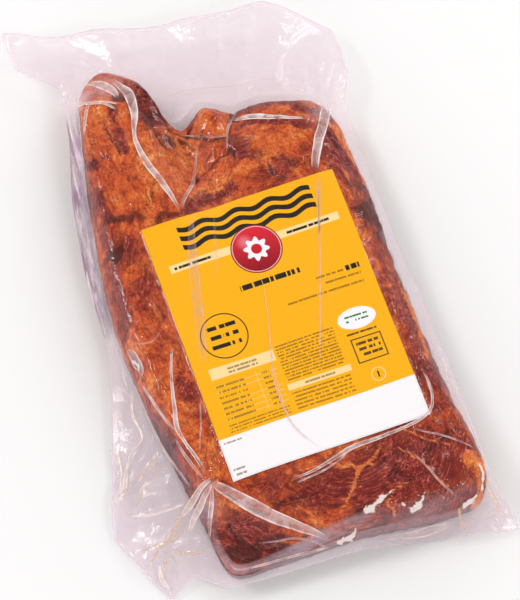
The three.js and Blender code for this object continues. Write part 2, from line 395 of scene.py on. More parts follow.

# %% [markdown]
# The fields below are named after what they are on the meat, but the lean and smoke fields also hold painted
# shade where the slab lies in shade. Patches are placed in plan by a middle, two reaches and a turn. Seams
# of fat and cracks are short lines with a width. A little noise bends them all, because nothing on a belly
# is a clean oval.

# %% Fields of lean, fat, smoke, painted shade and grain
LEAN_AND_SHADE_PATCHES = (
    # x, y, reach across, reach along, turn, amount
    (45, -135, 62, 30, 0, 1.3),
    (50, -170, 75, 14, 0, 1.3),
    (-14, -133, 34, 17, -8, 1.1),
    (97, -40, 17, 90, 0, 1.1),
    (97, 60, 14, 60, 4, 1.0),
    (40, 123, 22, 10, 5, 0.8),
    (16, 150, 9, 13, 20, 1.1),
    (24, 138, 9, 8, 0, 0.7),
    (-102, 146, 9, 24, 8, 1.2),
    (-96, 178, 5, 8, 30, 1.2),
    (-83, 175, 4, 7, 40, 1.1),
    (-96, 98, 14, 15, 0, 0.9),
    (-88, 62, 16, 22, 10, 0.6),
    (-87, -25, 10, 16, 0, 0.9),
    (-76, -10, 6, 10, 0, 0.7),
    (-84, -48, 8, 14, 0, 0.6),
    (-112, -64, 5, 40, 6, 1.3),
    (-80, -143, 24, 15, -35, 1.7),
    (-105, -125, 8, 30, 0, 1.1),
    (-52, -117, 15, 9, 0, 0.9),
    (-37, 214, 15, 24, 25, 1.5),
    (-70, 196, 6, 26, 6, 0.8),
    (89, 116, 13, 34, 12, 1.2),
    (-92, -20, 12, 30, 0, 0.5),
    # Painted shade: this strip darkens the meat along the slab's left edge, the side that lies in shade.
    (-110, 70, 6, 80, -6, 0.8),
)
LEAN_BANDS = (
    # width, then the band's middle line
    (4.0, ((20, 180), (40, 183), (62, 175), (80, 164), (92, 150))),
    (6.0, ((82, 146), (91, 124), (95, 100), (97, 76))),
    (5.5, ((-38, 113), (-15, 119), (3, 119))),
    (5.5, ((-68, 213), (-66, 195), (-68, 176))),
    (2.2, ((-16, 176), (-13, 186), (-4, 193))),
    (3.0, ((28, 168), (50, 160), (72, 152))),
)
PALE_PATCHES = (
    # as for the lean
    (-78, 205, 8, 14, 0, 0.8),
    (-82, 148, 22, 20, 0, 0.6),
    (-76, 195, 26, 40, 0, 0.75),
    (-64, 150, 20, 30, 0, 0.7),
    (-50, 170, 16, 30, 10, 0.7),
    (-62, 236, 8, 8, 0, 1.0),
    (0, 180, 13, 10, 0, 1.0),
    (38, 142, 8, 6, 0, 1.0),
    (60, 146, 13, 9, 0, 1.1),
    (4, 130, 24, 5, 12, 1.0),
    (-109, 24, 9, 9, 0, 1.1),
    (-101, -14, 8, 22, 10, 0.9),
    (-88, -66, 12, 26, 8, 0.6),
    (99, 132, 6, 24, 10, 1.0),
    (98, -148, 9, 11, 0, 1.2),
    (-99, -104, 8, 9, 0, 1.0),
)
SMOKE_AND_SHADE_PATCHES = (
    # as for the lean
    (-40, 216, 17, 25, 25, 0.55),
    (-57, 221, 6, 7, 0, 1.0),
    (-40, 196, 6, 10, 0, 0.8),
    (-33, 178, 4, 14, 12, 0.8),
    (-88, 123, 20, 5, -4, 0.9),
    (-54, 114, 12, 4, 16, 1.1),
    (-96, 178, 4, 6, 30, 0.6),
    (-103, 100, 6, 8, 0, 0.8),
    (90, 70, 11, 14, 10, 1.3),
    (96, 45, 6, 15, 0, 0.8),
    (99, 20, 4, 18, 0, 0.6),
    (2, -155, 22, 7, 0, 0.5),
    (-84, -150, 13, 8, -20, 1.6),
    (-60, -150, 22, 5, -12, 0.8),
    (-40, -133, 16, 4, 0, 0.8),
    (-115, -60, 4, 60, 6, 1.2),
    (104, -30, 5, 120, 0, 0.5),
    (-22, 174, 9, 3, -30, 0.9),
    # These two are painted shade: they darken the slab's near end wall, which lies in shade.
    (-30, -172, 75, 9, 0, 1.2),
    (-50, -162, 45, 7, 0, 0.9),
    (96, 62, 10, 12, 0, 1.0),
    (100, 92, 6, 10, 0, 0.8),
)
FAT_LINES = (
    # width, then the seam's middle line
    (1.5, ((37, -112), (28, -119), (13, -126), (6, -135), (-2, -143), (-12, -151))),
    (1.2, ((41, -148), (29, -150), (24, -157), (27, -164))),
    (1.0, ((-28, -111), (-6, -114), (13, -124), (24, -124))),
    (2.6, ((90, -146), (95, -155), (94, -168), (85, -173))),
    (0.8, ((54, -104), (66, -118), (82, -128))),
    (0.8, ((46, -118), (58, -136), (70, -160))),
    (1.4, ((-18, 128), (-4, 131), (12, 134), (24, 130))),
    (1.4, ((88, 150), (95, 130), (100, 100))),
    (1.8, ((92, -60), (97, -20), (94, 8))),
    (1.2, ((-60, -131), (-43, -147), (-24, -160))),
    (1.0, ((84, 112), (88, 96), (90, 80))),
)
CRACKS = (
    # width, then the crack's line
    (1.5, ((-44, 206), (-40, 196), (-39, 184), (-34, 170))),
    (1.6, ((-29, 186), (-19, 178), (-10, 170), (-2, 165), (8, 163), (13, 160))),
    (1.5, ((24, 184), (18, 176), (13, 164), (9, 152), (10, 142))),
    (1.0, ((-30, 136), (-18, 140), (-4, 146), (8, 150))),
    (0.9, ((97, 79), (97, 61), (99, 39), (98, 20))),
    (0.8, ((-75, 212), (-74, 194), (-72, 174))),
    (0.9, ((-100, 183), (-93, 182), (-90, 174))),
    (0.9, ((32, 130), (34, 120), (42, 114))),
    (0.9, ((38, 132), (46, 130), (50, 122), (60, 120))),
    (0.8, ((60, -138), (68, -128), (80, -122), (92, -118))),
    (0.8, ((-4, -140), (8, -152), (18, -162))),
    (0.8, ((33, -126), (38, -138), (48, -146))),
    (1.3, ((-92, -128), (-86, -142), (-78, -152), (-60, -156))),
    (0.9, ((84, 142), (90, 128), (92, 110))),
)
FIBRES = (
    # x, y, reach across, reach along, and the way that the fibres run in degrees
    (50, -135, 60, 35, 62),
    (-20, -130, 40, 22, 25),
    (97, -30, 20, 110, 80),
    (90, 110, 18, 60, 75),
    (45, 150, 40, 30, 35),
    (0, 150, 25, 35, 60),
    (-80, 180, 30, 60, 98),
    (-95, 90, 25, 45, 70),
    (-95, 0, 20, 60, 100),
    (-70, -90, 30, 25, 40),
)
FAINT_SHARE = 1e-4
BAND_AMOUNT = 1.1
# How noise bends the patches, the lines and the fibres: size of its lumps, push and seed.
PATCH_BEND = (16, 5.0, 1)
LINE_BEND = (7, 2.2, 2)
FIBRE_BEND = (9, 1.6, 9)


def bend(points, size, amount, seed):
    """The points' plan places, pushed about by noise."""
    dx = lumps(points, size, seed, 2)
    dy = lumps(points, size, seed + 7, 2)
    return points[:, 0] + amount * dx, points[:, 1] + amount * dy


def line_distance(x, y, line):
    """Distance from each place to a line of straight runs, and how far along it the nearest spot is."""
    best = np.full(x.shape, np.inf)
    along = np.zeros(x.shape)
    travelled = 0.0
    for (ax, ay), (bx, by) in zip(line[:-1], line[1:]):
        run = math.hypot(bx - ax, by - ay)
        part = np.clip(((x - ax) * (bx - ax) + (y - ay) * (by - ay)) / run**2, 0, 1)
        gap = np.hypot(x - ax - part * (bx - ax), y - ay - part * (by - ay))
        nearer = gap < best
        best = np.where(nearer, gap, best)
        along = np.where(nearer, travelled + part * run, along)
        travelled += run
    return best, along / travelled


def patches(x, y, places):
    """The strongest of several humps at each place."""
    total = np.zeros(x.shape)
    for at_x, at_y, reach_x, reach_y, turn, amount in places:
        total = np.maximum(total, amount * hump(x, y, at_x, at_y, reach_x, reach_y, turn))
    return total


def lines(x, y, places):
    """1 on the middle of any of several lines, fading over its width."""
    total = np.zeros(x.shape)
    for width, line in places:
        gap, _ = line_distance(x, y, line)
        total = np.maximum(total, np.exp(-((gap / width) ** 2)))
    return total


def fibre_places(x, y, z):
    """Each point's place along, across and through the fibres, blended between bundles."""
    weight = np.full(x.shape, FAINT_SHARE)
    along = np.zeros(x.shape)
    across = np.zeros(x.shape)
    for at_x, at_y, reach_x, reach_y, way in FIBRES:
        share = hump(x, y, at_x, at_y, reach_x, reach_y)
        angle = math.radians(way)
        along += share * ((x - at_x) * math.cos(angle) + (y - at_y) * math.sin(angle))
        across += share * ((y - at_y) * math.cos(angle) - (x - at_x) * math.sin(angle))
        weight += share
    return np.column_stack([along / weight, across / weight, z])


slab_points = slab_grid.reshape(-1, 3)
bent_x, bent_y = bend(slab_points, *PATCH_BEND)
lean_bands = BAND_AMOUNT * lines(bent_x, bent_y, LEAN_BANDS)
lean = np.maximum(patches(bent_x, bent_y, LEAN_AND_SHADE_PATCHES), lean_bands)
pale = patches(bent_x, bent_y, PALE_PATCHES)
smoke = patches(bent_x, bent_y, SMOKE_AND_SHADE_PATCHES)
near_x, near_y = bend(slab_points, *LINE_BEND)
fat = lines(near_x, near_y, FAT_LINES)
crack = lines(near_x, near_y, CRACKS)
grain = fibre_places(*bend(slab_points, *FIBRE_BEND), slab_points[:, 2])
print("lean covers", f"{(lean > 0.5).mean():.0%}", "of the slab's points")

# %% [markdown]
# Relief goes along each point's own normal, so the sides get it too. Muscle is ridged along its fibres,
# fat is smooth and a little proud, cracks sink. Under the insert the slab stays below the paper.

# %% Push the slab's surface in and out
MUSCLE_RELIEF = 0.95
FIBRE_RELIEF = 0.28
FAT_PROUD = 0.4
CRACK_DEPTH = 2.6
PIT_DEPTH = 0.9
SHEET_ROOM = 0.4
INSERT_BORDER = 5
RIND_HEIGHT = 11
RIND_RISE = 10
RIND_RISES_AT = (-70, -165, 60, 28)
RIND_WAVER = 2
RIND_EDGE = 1.5
FIBRE_SIZE = np.array([4.2, 1.9, 3.0])
LUMP_SIZE = 13
PIT_SIZE = 4.2
PIT_WIDTH = 0.16
FAT_FIBRE = 0.6
LEAN_FIBRE = 0.6
RELIEF_STARTS_AT = (0.5, 5)


def inside_insert(x, y):
    """1 over the insert, fading to 0 just outside it."""
    across = np.abs(x - INSERT_CENTRE[0]) - INSERT_WIDTH / 2
    along = np.abs(y - INSERT_CENTRE[1]) - INSERT_LENGTH / 2
    return 1 - smoothstep(np.maximum(across, along), 0, INSERT_BORDER)


fibre_noise = lumps(grain / FIBRE_SIZE, 1.0, 3, 3)
lumpy = lumps(slab_points, LUMP_SIZE, 4, 3)
pits = np.clip(PIT_WIDTH - np.abs(lumps(slab_points, PIT_SIZE, 5, 2)), 0, 1) / PIT_WIDTH
relief = (
    MUSCLE_RELIEF * lumpy
    + FIBRE_RELIEF * fibre_noise * (FAT_FIBRE + LEAN_FIBRE * np.clip(lean, 0, 1))
    + FAT_PROUD * fat
    - CRACK_DEPTH * crack
    - PIT_DEPTH * pits * (1 - np.clip(fat, 0, 1))
)
covered = inside_insert(slab_points[:, 0], slab_points[:, 1])
relief = relief * (1 - covered) * smoothstep(slab_points[:, 2], *RELIEF_STARTS_AT)
relief = relief - SHEET_ROOM * covered
slab_normals = grid_normals(slab_grid)
slab_grid = slab_grid + slab_normals * relief.reshape(len(slab_grid), AROUND, 1)
print("relief runs from", relief.min().round(2), "to", relief.max().round(2), "mm")

top_middle = [*SLAB_CENTRE, face_height(*SLAB_CENTRE) - FILM_CLEARANCE - SHEET_ROOM]
slab = ring_body("bacon_slab", slab_grid, top_middle, [*SLAB_CENTRE, SLAB_BOTTOM])
rind_top = RIND_HEIGHT + RIND_RISE * hump(slab_points[:, 0], slab_points[:, 1], *RIND_RISES_AT)
above_rind = slab_points[:, 2] - (rind_top + RIND_WAVER * lumpy)
kept_fields = {
    "lean": np.clip(lean, 0, 1),
    "fat": fat,
    "smoke": np.clip(smoke, 0, 1),
    "crack": crack,
    "pale": np.clip(pale, 0, 1),
    "rind": 1 - smoothstep(above_rind, -RIND_EDGE, RIND_EDGE),
}
for field, values in kept_fields.items():
    add_numbers(slab, field, on_body(values.reshape(len(slab_grid), AROUND)))
add_vectors(slab, "grain", on_body(grain.reshape(len(slab_grid), AROUND, 3)))

# %% [markdown]
# ## Writing shaders as expressions
#
# A finish is mostly arithmetic on patterns. Wrapping a socket in a small class lets that arithmetic be
# written as Python: each operator adds the node that does it, and the operators themselves are made in a
# loop, because they differ only in a word. Every other node comes from one method.


# %% A socket that does arithmetic, and a finish that holds nodes
def colour(red, green, blue):
    """A screen colour, 0 to 255, as the linear colour that a shader wants."""
    parts = np.array([red, green, blue]) / 255
    linear = np.where(parts <= 0.04045, parts / 12.92, ((parts + 0.055) / 1.055) ** 2.4)
    return (*linear.tolist(), 1.0)


class Wire:
    """An output socket whose operators add Math or Vector Math nodes."""

    def __init__(self, finish, socket):
        self.finish = finish
        self.socket = socket

    def join(self, operation, *values):
        """The result of one node that works on values, some of which are wires."""
        vector = any(isinstance(v, Wire) and v.socket.type == "VECTOR" for v in values)
        kind = "ShaderNodeVectorMath" if vector else "ShaderNodeMath"
        return self.finish.node(kind, {"operation": operation}, dict(enumerate(values))).first

    def __abs__(self):
        return self.join("ABSOLUTE", self)

    def sin(self):
        return self.join("SINE", self)

    def floor(self):
        return self.join("FLOOR", self)

    def fraction(self):
        return self.join("FRACT", self)

    def greatest(self, other):
        return self.join("MAXIMUM", self, other)

    def least(self, other):
        return self.join("MINIMUM", self, other)

    def clamped(self):
        return self.greatest(0.0).least(1.0)

    def step(self, low, high):
        """0 below low, 1 above high, smooth between."""
        part = ((self - low) / (high - low)).clamped()
        return part * part * (3 - 2 * part)


def operator(operation, turned):
    """An operator's method for Wire; turned is for its reflected form, as in 1 - mask."""

    def method(self, other):
        values = (other, self) if turned else (self, other)
        return self.join(operation, *values)

    return method


OPERATORS = {"add": "ADD", "sub": "SUBTRACT", "mul": "MULTIPLY", "truediv": "DIVIDE", "pow": "POWER"}
for word, operation in OPERATORS.items():
    setattr(Wire, f"__{word}__", operator(operation, turned=False))
    setattr(Wire, f"__r{word}__", operator(operation, turned=True))

# A Mix node has sockets for each kind of value: these are its two colours and their mix.
MIX_A, MIX_B, MIX_RESULT = 6, 7, 2


class Node:
    """A node with its outputs as wires."""

    def __init__(self, finish, node):
        self.finish = finish
        self.made = node

    def __getitem__(self, name):
        return Wire(self.finish, self.made.outputs[name])

    @property
    def first(self):
        return Wire(self.finish, next(s for s in self.made.outputs if s.enabled))


class Finish:
    """A material whose nodes are added one call at a time."""

    def __init__(self, name):
        self.material = bpy.data.materials.new(name)
        self.material.use_nodes = True
        self.tree = self.material.node_tree
        self.tree.nodes.clear()

    def node(self, kind, settings=None, sockets=None):
        """Adds a node: its settings first, then a value or a link for each named socket."""
        made = self.tree.nodes.new(kind)
        for name, value in (settings or {}).items():
            if name == "stops":
                ramp = made.color_ramp.elements
                while len(ramp) < len(value):
                    ramp.new(1.0)
                for element, (place, shade) in zip(ramp, value):
                    element.position = place
                    element.color = shade
            else:
                setattr(made, name, value)
        for name, value in (sockets or {}).items():
            if isinstance(value, Wire):
                self.tree.links.new(value.socket, made.inputs[name])
            else:
                made.inputs[name].default_value = value
        return Node(self, made)

    def attribute(self, name):
        return self.node("ShaderNodeAttribute", {"attribute_name": name})

    def number(self, name):
        return self.attribute(name)["Fac"]

    def cloud(self, size, detail=3.0, at=None, rough=0.55, warp=0.0):
        """Noise from 0 to 1 whose lumps are about size millimetres apart."""
        where = self.plan() if at is None else at
        sockets = {"Vector": where, "Scale": 1.0 / size}
        sockets |= {"Detail": detail, "Roughness": rough, "Distortion": warp}
        return self.node("ShaderNodeTexNoise", {"noise_dimensions": "3D"}, sockets)["Fac"]

    def stretched(self, where, amounts):
        """A place with each of its three numbers multiplied."""
        sockets = {0: where, 1: amounts}
        return self.node("ShaderNodeVectorMath", {"operation": "MULTIPLY"}, sockets).first

    def split(self, name):
        """The three numbers that a piece keeps under one name."""
        return self.node("ShaderNodeSeparateXYZ", None, {"Vector": self.attribute(name)["Vector"]})

    def see_through(self, tint):
        return self.node("ShaderNodeBsdfTransparent", None, {"Color": tint})["BSDF"]

    def plan(self):
        """The model's own coordinates in millimetres."""
        if not hasattr(self, "_plan"):
            where = self.node("ShaderNodeTexCoord")["Object"]
            scaled = {0: where, "Scale": 1.0 / MM}
            self._plan = self.node("ShaderNodeVectorMath", {"operation": "SCALE"}, scaled).first
        return self._plan

    def ramp(self, amount, *stops):
        return self.node("ShaderNodeValToRGB", {"stops": stops}, {"Fac": amount})["Color"]

    def mix(self, amount, a, b):
        """Colour a where amount is 0, colour b where it is 1."""
        settings = {"data_type": "RGBA", "blend_type": "MIX"}
        sockets = {"Factor": amount, MIX_A: a, MIX_B: b}
        return Wire(self, self.node("ShaderNodeMix", settings, sockets).made.outputs[MIX_RESULT])

    def bump(self, height, depth_mm):
        """Fine relief that only bends the light."""
        sockets = {"Height": height, "Distance": depth_mm * MM, "Strength": 1.0}
        return self.node("ShaderNodeBump", None, sockets)["Normal"]

    def surface(self, **sockets):
        """An opaque surface; Base_Color stands for the socket Base Color, and so on."""
        named = {name.replace("_", " "): value for name, value in sockets.items()}
        return self.node("ShaderNodeBsdfPrincipled", None, named)["BSDF"]

    def blend(self, amount, a, b):
        """Shader a where amount is 0, shader b where it is 1."""
        return self.node("ShaderNodeMixShader", None, {0: amount, 1: a, 2: b})["Shader"]

    def show(self, shader):
        self.node("ShaderNodeOutputMaterial", None, {"Surface": shader})
        print(f"{self.material.name}: {len(self.tree.nodes)} nodes")
        return self.material


# %% [markdown]
# ## Smoked bacon
#
# Smoke colours the fat orange to russet and the lean dark red. Both are mottled at several sizes at once:
# broad clouds, blotches of about a centimetre, and specks of a millimetre or two. The lean also shows pale
# threads along its fibres. Each size is its own noise, so each can be judged against the real meat alone.

# %% Bacon finish
SMOKED_FAT = (
    (0.0, colour(96, 30, 18)),
    (0.2, colour(150, 54, 28)),
    (0.37, colour(194, 80, 38)),
    (0.52, colour(216, 100, 45)),
    (0.68, colour(228, 128, 60)),
    (0.84, colour(238, 160, 88)),
    (1.0, colour(248, 196, 138)),
)
LEAN_MEAT = (
    (0.0, colour(62, 12, 12)),
    (0.24, colour(108, 28, 26)),
    (0.45, colour(142, 46, 40)),
    (0.62, colour(172, 72, 58)),
    (0.8, colour(208, 120, 100)),
    (1.0, colour(236, 176, 154)),
)
SEAM_FAT = colour(224, 112, 44)
SEAM_FAT_PALE = colour(240, 160, 92)
SOOT_AND_SHADE = colour(62, 20, 16)
RUST = colour(112, 38, 22)
RIND_BROWN = colour(74, 36, 26)
RIND_TAN = colour(150, 92, 58)

CLOUDS = {
    # size of its lumps in millimetres, detail, roughness, distortion, strength
    "broad": (30, 2, 0.55, 0.0, 2.0),
    "blotch": (10, 4, 0.55, 0.8, 2.4),
    "granule": (2.2, 3, 0.7, 0.0, 2.6),
    "grit": (0.9, 2, 0.55, 0.0, 2.0),
}
RAW_CLOUDS = {
    # size, detail, roughness, distortion; these stay between 0 and 1
    "creased": (13, 3, 0.55, 0.8),
    "ragged": (15, 6, 0.62, 1.4),
    "peppered": (1.7, 2, 0.5, 0.0),
}
THREADS = {
    # width of its threads in millimetres, length against width, detail
    "thread": (0.9, 3, 2),
    "bundle": (3.0, 2.2, 3),
    "fleck": (1.2, 1.6, 2),
    "knobs": (3.4, 1.6, 2),
    "ridges": (4.6, 1.9, 3),
}
THREAD_STRENGTH = 2.4
THREAD_ROUGHNESS = 0.6
THREAD_THROUGH = 0.5
CELL_SIZE = 2.3
CELL_STRETCH = (0.62, 1, 0.6)
CELL_RAGGED = 0.9
MEAT_BUMP = 0.5
# Where each mark starts on its pattern's own scale, and where it is full.
EDGES = {
    "crease": (0.0, 0.16),
    "creased patch": (0.42, 0.6),
    "web": (0.0, 0.2),
    "lean": (0.58, 0.7),
    "seam": (0.3, 0.8),
    "pale seam": (-0.3, 0.6),
    "soot": (0.66, 0.9),
    "crack": (0.3, 1.0),
    "pepper": (0.6, 0.68),
    "tan rind": (-0.2, 0.9),
}
# How much of the shade below a mark it covers.
COVERS = {"seam": 0.85, "crease": 0.6, "soot": 0.75, "crack": 0.7, "pepper": 0.5}


def bacon_finish():
    meat = Finish("smoked_bacon")
    grain_at = meat.attribute("grain")["Vector"]
    marks = {}
    for name, (size, detail, rough, warp, strength) in CLOUDS.items():
        marks[name] = (meat.cloud(size, detail, rough=rough, warp=warp) - 0.5) * strength
    for name, (size, detail, rough, warp) in RAW_CLOUDS.items():
        marks[name] = meat.cloud(size, detail, rough=rough, warp=warp)
    for name, (size, length, detail) in THREADS.items():
        where = meat.stretched(grain_at, (1 / length, 1, THREAD_THROUGH))
        marks[name] = (meat.cloud(size, detail, where, THREAD_ROUGHNESS) - 0.5) * THREAD_STRENGTH
    cell_at = meat.stretched(grain_at, CELL_STRETCH) + marks["granule"] * CELL_RAGGED
    cells = {"Vector": cell_at, "Scale": 1 / CELL_SIZE}
    cell_edge = meat.node("ShaderNodeTexVoronoi", {"feature": "DISTANCE_TO_EDGE"}, cells)["Distance"]
    marks["web"] = 1 - cell_edge.step(*EDGES["web"])
    creases = 1 - abs(marks["ridges"]).step(*EDGES["crease"])
    marks["crease"] = creases * marks["creased"].step(*EDGES["creased patch"])
    for name in kept_fields:
        marks[name] = meat.number(name)

    def mottle(total, **shares):
        """A number or pattern with a share of each named mark added."""
        for name, share in shares.items():
            total = total + marks[name] * share
        return total

    warmth = mottle(0.44, blotch=0.36, granule=0.3, broad=0.34, grit=0.16, bundle=0.1, knobs=0.26, pale=0.16)
    fatty = meat.ramp(warmth, *SMOKED_FAT)
    flesh = mottle(0.25, web=0.3, fleck=0.42, thread=0.24, grit=0.2, bundle=0.1, blotch=0.36)
    meaty = meat.ramp(flesh, *LEAN_MEAT)
    leanness = mottle(marks["ragged"], lean=0.42, pale=-0.2, granule=0.06).step(*EDGES["lean"])
    shade = meat.mix(leanness * mottle(0.5, lean=0.46), fatty, meaty)
    seam = mottle(marks["fat"], granule=0.2).step(*EDGES["seam"])
    seam_shade = meat.mix(marks["granule"].step(*EDGES["pale seam"]), SEAM_FAT, SEAM_FAT_PALE)
    shade = meat.mix(seam * COVERS["seam"], shade, seam_shade)
    shade = meat.mix(marks["crease"] * COVERS["crease"], shade, RUST)
    # Painted shade: the soot mask follows the smoked patches, the near end wall's painted shade among them,
    # and the cracks are painted dark as shade in their hollows.
    soot = mottle(marks["ragged"], smoke=0.5, granule=0.1).step(*EDGES["soot"])
    crack_shade = marks["crack"].step(*EDGES["crack"])
    shade = meat.mix((soot * COVERS["soot"]).greatest(crack_shade * COVERS["crack"]), shade, SOOT_AND_SHADE)
    pepper = mottle(marks["peppered"], broad=0.08).step(*EDGES["pepper"])
    shade = meat.mix(pepper * COVERS["pepper"], shade, SOOT_AND_SHADE)
    tan = mottle(0, granule=0.6, blotch=0.5).step(*EDGES["tan rind"])
    shade = meat.mix(marks["rind"], shade, meat.mix(tan, RIND_BROWN, RIND_TAN))
    texture = mottle(0, thread=0.3, bundle=0.15, granule=0.5, blotch=0.4, knobs=0.3, crease=-0.4)
    shader = meat.surface(
        Base_Color=shade,
        Roughness=mottle(0.36, granule=0.08).clamped(),
        Normal=meat.bump(texture, MEAT_BUMP),
        Specular_IOR_Level=0.06,
    )
    return meat.show(shader)


slab.data.materials.append(bacon_finish())

# %% [markdown]
# ## The printed insert
#
# A sheet of yellow paper lies on the slab, under the film. It's a thin closed sheet that follows the face's
# height. Its print is worked out from millimetres across and down the sheet: boxes, discs and rows of
# dashes, each a distance compared with a size, so the edges stay crisp at any distance.

# %% The sheet
SHEET_CELLS = (60, 82)
SHEET_THICKNESS = 0.2
SHEET_BELOW_FILM = 0.55
SHEET_WAVE_HEIGHT = 0.12
SHEET_WAVE_SIZE = 34


def thin_faces(rows, columns, rows_go_left):
    """Faces of a thin closed sheet: a grid of points for its top, then the same for its underside.

    Seen from above, a row's points go to the right of the way from row to row, or to its left. A face's
    points are listed so that it looks outwards.
    """
    under = rows * columns
    steps = (columns, 1) if rows_go_left else (1, columns)
    faces = []
    for row in range(rows - 1):
        for column in range(columns - 1):
            a = row * columns + column
            quad = (a, a + steps[0], a + steps[0] + steps[1], a + steps[1])
            faces.append(quad)
            faces.append(tuple(under + k for k in reversed(quad)))
    rim = list(range(columns))
    rim += [row * columns + columns - 1 for row in range(1, rows)]
    rim += [(rows - 1) * columns + column for column in range(columns - 2, -1, -1)]
    rim += [row * columns for row in range(rows - 2, 0, -1)]
    for a, b in zip(rim, rim[1:] + rim[:1]):
        faces.append((a, b, under + b, under + a) if rows_go_left else (a, under + a, under + b, b))
    return faces


def build_insert():
    across = np.linspace(-0.5, 0.5, SHEET_CELLS[0] + 1) * INSERT_WIDTH + INSERT_CENTRE[0]
    along = np.linspace(-0.5, 0.5, SHEET_CELLS[1] + 1) * INSERT_LENGTH + INSERT_CENTRE[1]
    x, y = (grid.ravel() for grid in np.meshgrid(across, along))
    top = face_height(x, y) - SHEET_BELOW_FILM + SHEET_WAVE_HEIGHT * plan_lumps(x, y, SHEET_WAVE_SIZE, 11)
    points = np.column_stack([np.tile(x, 2), np.tile(y, 2), np.append(top, top - SHEET_THICKNESS)])
    faces = thin_faces(len(along), len(across), rows_go_left=False)
    sheet = make_piece("insert_sheet", points, faces)
    from_left = np.tile(x - x.min(), 2)
    from_top = np.tile(y.max() - y, 2)
    add_vectors(sheet, "print", np.column_stack([from_left, from_top, 0 * from_left]))
    return sheet


insert_sheet = build_insert()

# %% [markdown]
# The print is laid down as flat colours on a warm yellow with no green in it. Small print is drawn as rows
# of short dashes, and three wavy bands at the head stand for rashers seen from the edge.

# %% Shapes for the print
YELLOW = colour(253, 184, 16)
CREAM = colour(255, 226, 160)
WHITE = colour(250, 250, 250)
INK = colour(38, 34, 30)
SOFT_INK = colour(120, 88, 30)
SEAL_RED = colour(205, 26, 44)
SEAL_DARK = colour(140, 14, 28)
GREEN_INK = colour(40, 130, 60)
SOFT_EDGE = 0.22
ROW_SHIFT = 7.31
WORD_GAP = (0.4, 0.44)


class Print:
    """Masks for simple printed shapes, in millimetres from the sheet's top left corner."""

    def __init__(self, finish, paper_shade):
        self.finish = finish
        self.shade = paper_shade
        place = finish.split("print")
        self.x = place["X"]
        self.y = place["Y"]

    def lay(self, mask, shade, strength=None):
        """Prints one colour over what is there already."""
        amount = mask if strength is None else mask * strength
        self.shade = self.finish.mix(amount, self.shade, shade)

    def within(self, distance):
        """1 where distance is below 0, with an edge as soft as ink on paper."""
        return (0.5 - distance / SOFT_EDGE).clamped()

    def box(self, left, right, top, bottom):
        return self.band(left, right, (top + bottom) / 2, bottom - top)

    def band(self, left, right, middle, thick):
        gap_x = abs(self.x - (left + right) / 2) - (right - left) / 2
        gap_y = abs(self.y - middle) - thick / 2
        return self.within(gap_x.greatest(gap_y))

    def radius(self, at_x, at_y):
        return ((self.x - at_x) ** 2.0 + (self.y - at_y) ** 2.0) ** 0.5

    def disc(self, at_x, at_y, size):
        return self.within(self.radius(at_x, at_y) - size)

    def ring(self, at_x, at_y, size, width):
        return self.within(abs(self.radius(at_x, at_y) - size) - width / 2)

    def oval(self, at_x, at_y, half_x, half_y):
        squashed = ((self.x - at_x) ** 2.0 + ((self.y - at_y) * (half_x / half_y)) ** 2.0) ** 0.5
        return self.within(squashed - half_x)

    def text_rows(self, left, right, top, bottom, pitch, thick, word):
        """Rows of dashes with gaps like those between words."""
        row = ((self.y - top) / pitch).floor()
        in_row = ((self.y - top) / pitch).fraction()
        stroke = self.within((abs(in_row - 0.5) - thick / 2) * pitch)
        place = {"X": self.x / word, "Y": row * ROW_SHIFT}
        sockets = {"Vector": self.finish.node("ShaderNodeCombineXYZ", None, place).first}
        sockets |= {"Scale": 1.0, "Detail": 1.0}
        gaps = self.finish.node("ShaderNodeTexNoise", None, sockets)["Fac"]
        return self.box(left, right, top, bottom) * stroke * gaps.step(*WORD_GAP)

    def wave(self, left, right, middle, thick, swing, length):
        """A wavy band, as a rasher seen from its edge."""
        centre = middle + swing * (self.x * (2 * math.pi / length)).sin()
        return self.band(left, right, centre, thick)


# %% [markdown]
# The places below are millimetres from the sheet's top left corner. A block of text is one row of numbers,
# so the whole print is read from a few tables and laid down from the back to the front.

# %% Places on the print
CREAM_BOXES = (
    # left, right, top, bottom
    (10.5, 146, 35, 41.5),
    (11, 62, 124, 133),
    (62.5, 112.5, 154.5, 159.5),
)
TABLE_LINES = (11, 60, 137, 168, 4.4, 0.1, 4000)
TABLE_COLUMN = (43.6, 44.1, 136, 168)
WHITE_OVAL = (130, 121.5, 15, 8.6)
WHITE_STRIP_TOP = 178.7
BLEED = 1
WAVE_MIDDLES = (9.5, 17.0, 24.5)
WAVE_LEFT, WAVE_RIGHT = 26, 133
WAVE_SHAPE = {"thick": 4.2, "swing": 1.7, "length": 26.75}
STAMP = (31.6, 101.8, 17.8)
STAMP_LINE = 0.9
STAMP_ROWS = (20, 43, 90, 113.5, 7.6, 0.42, 4.5)
STAMP_INSIDE = 15
DARK_ROWS = (
    # left, right, top, bottom, distance between rows, share of it that is ink, length of a word
    (55.5, 103, 67, 74, 7.0, 0.62, 3.4),
    (14, 44, 36, 41, 5.0, 0.42, 2.6),
    (104, 138, 36, 41, 5.0, 0.42, 2.6),
    (136, 147, 77.5, 84.5, 7.0, 0.6, 3.0),
)
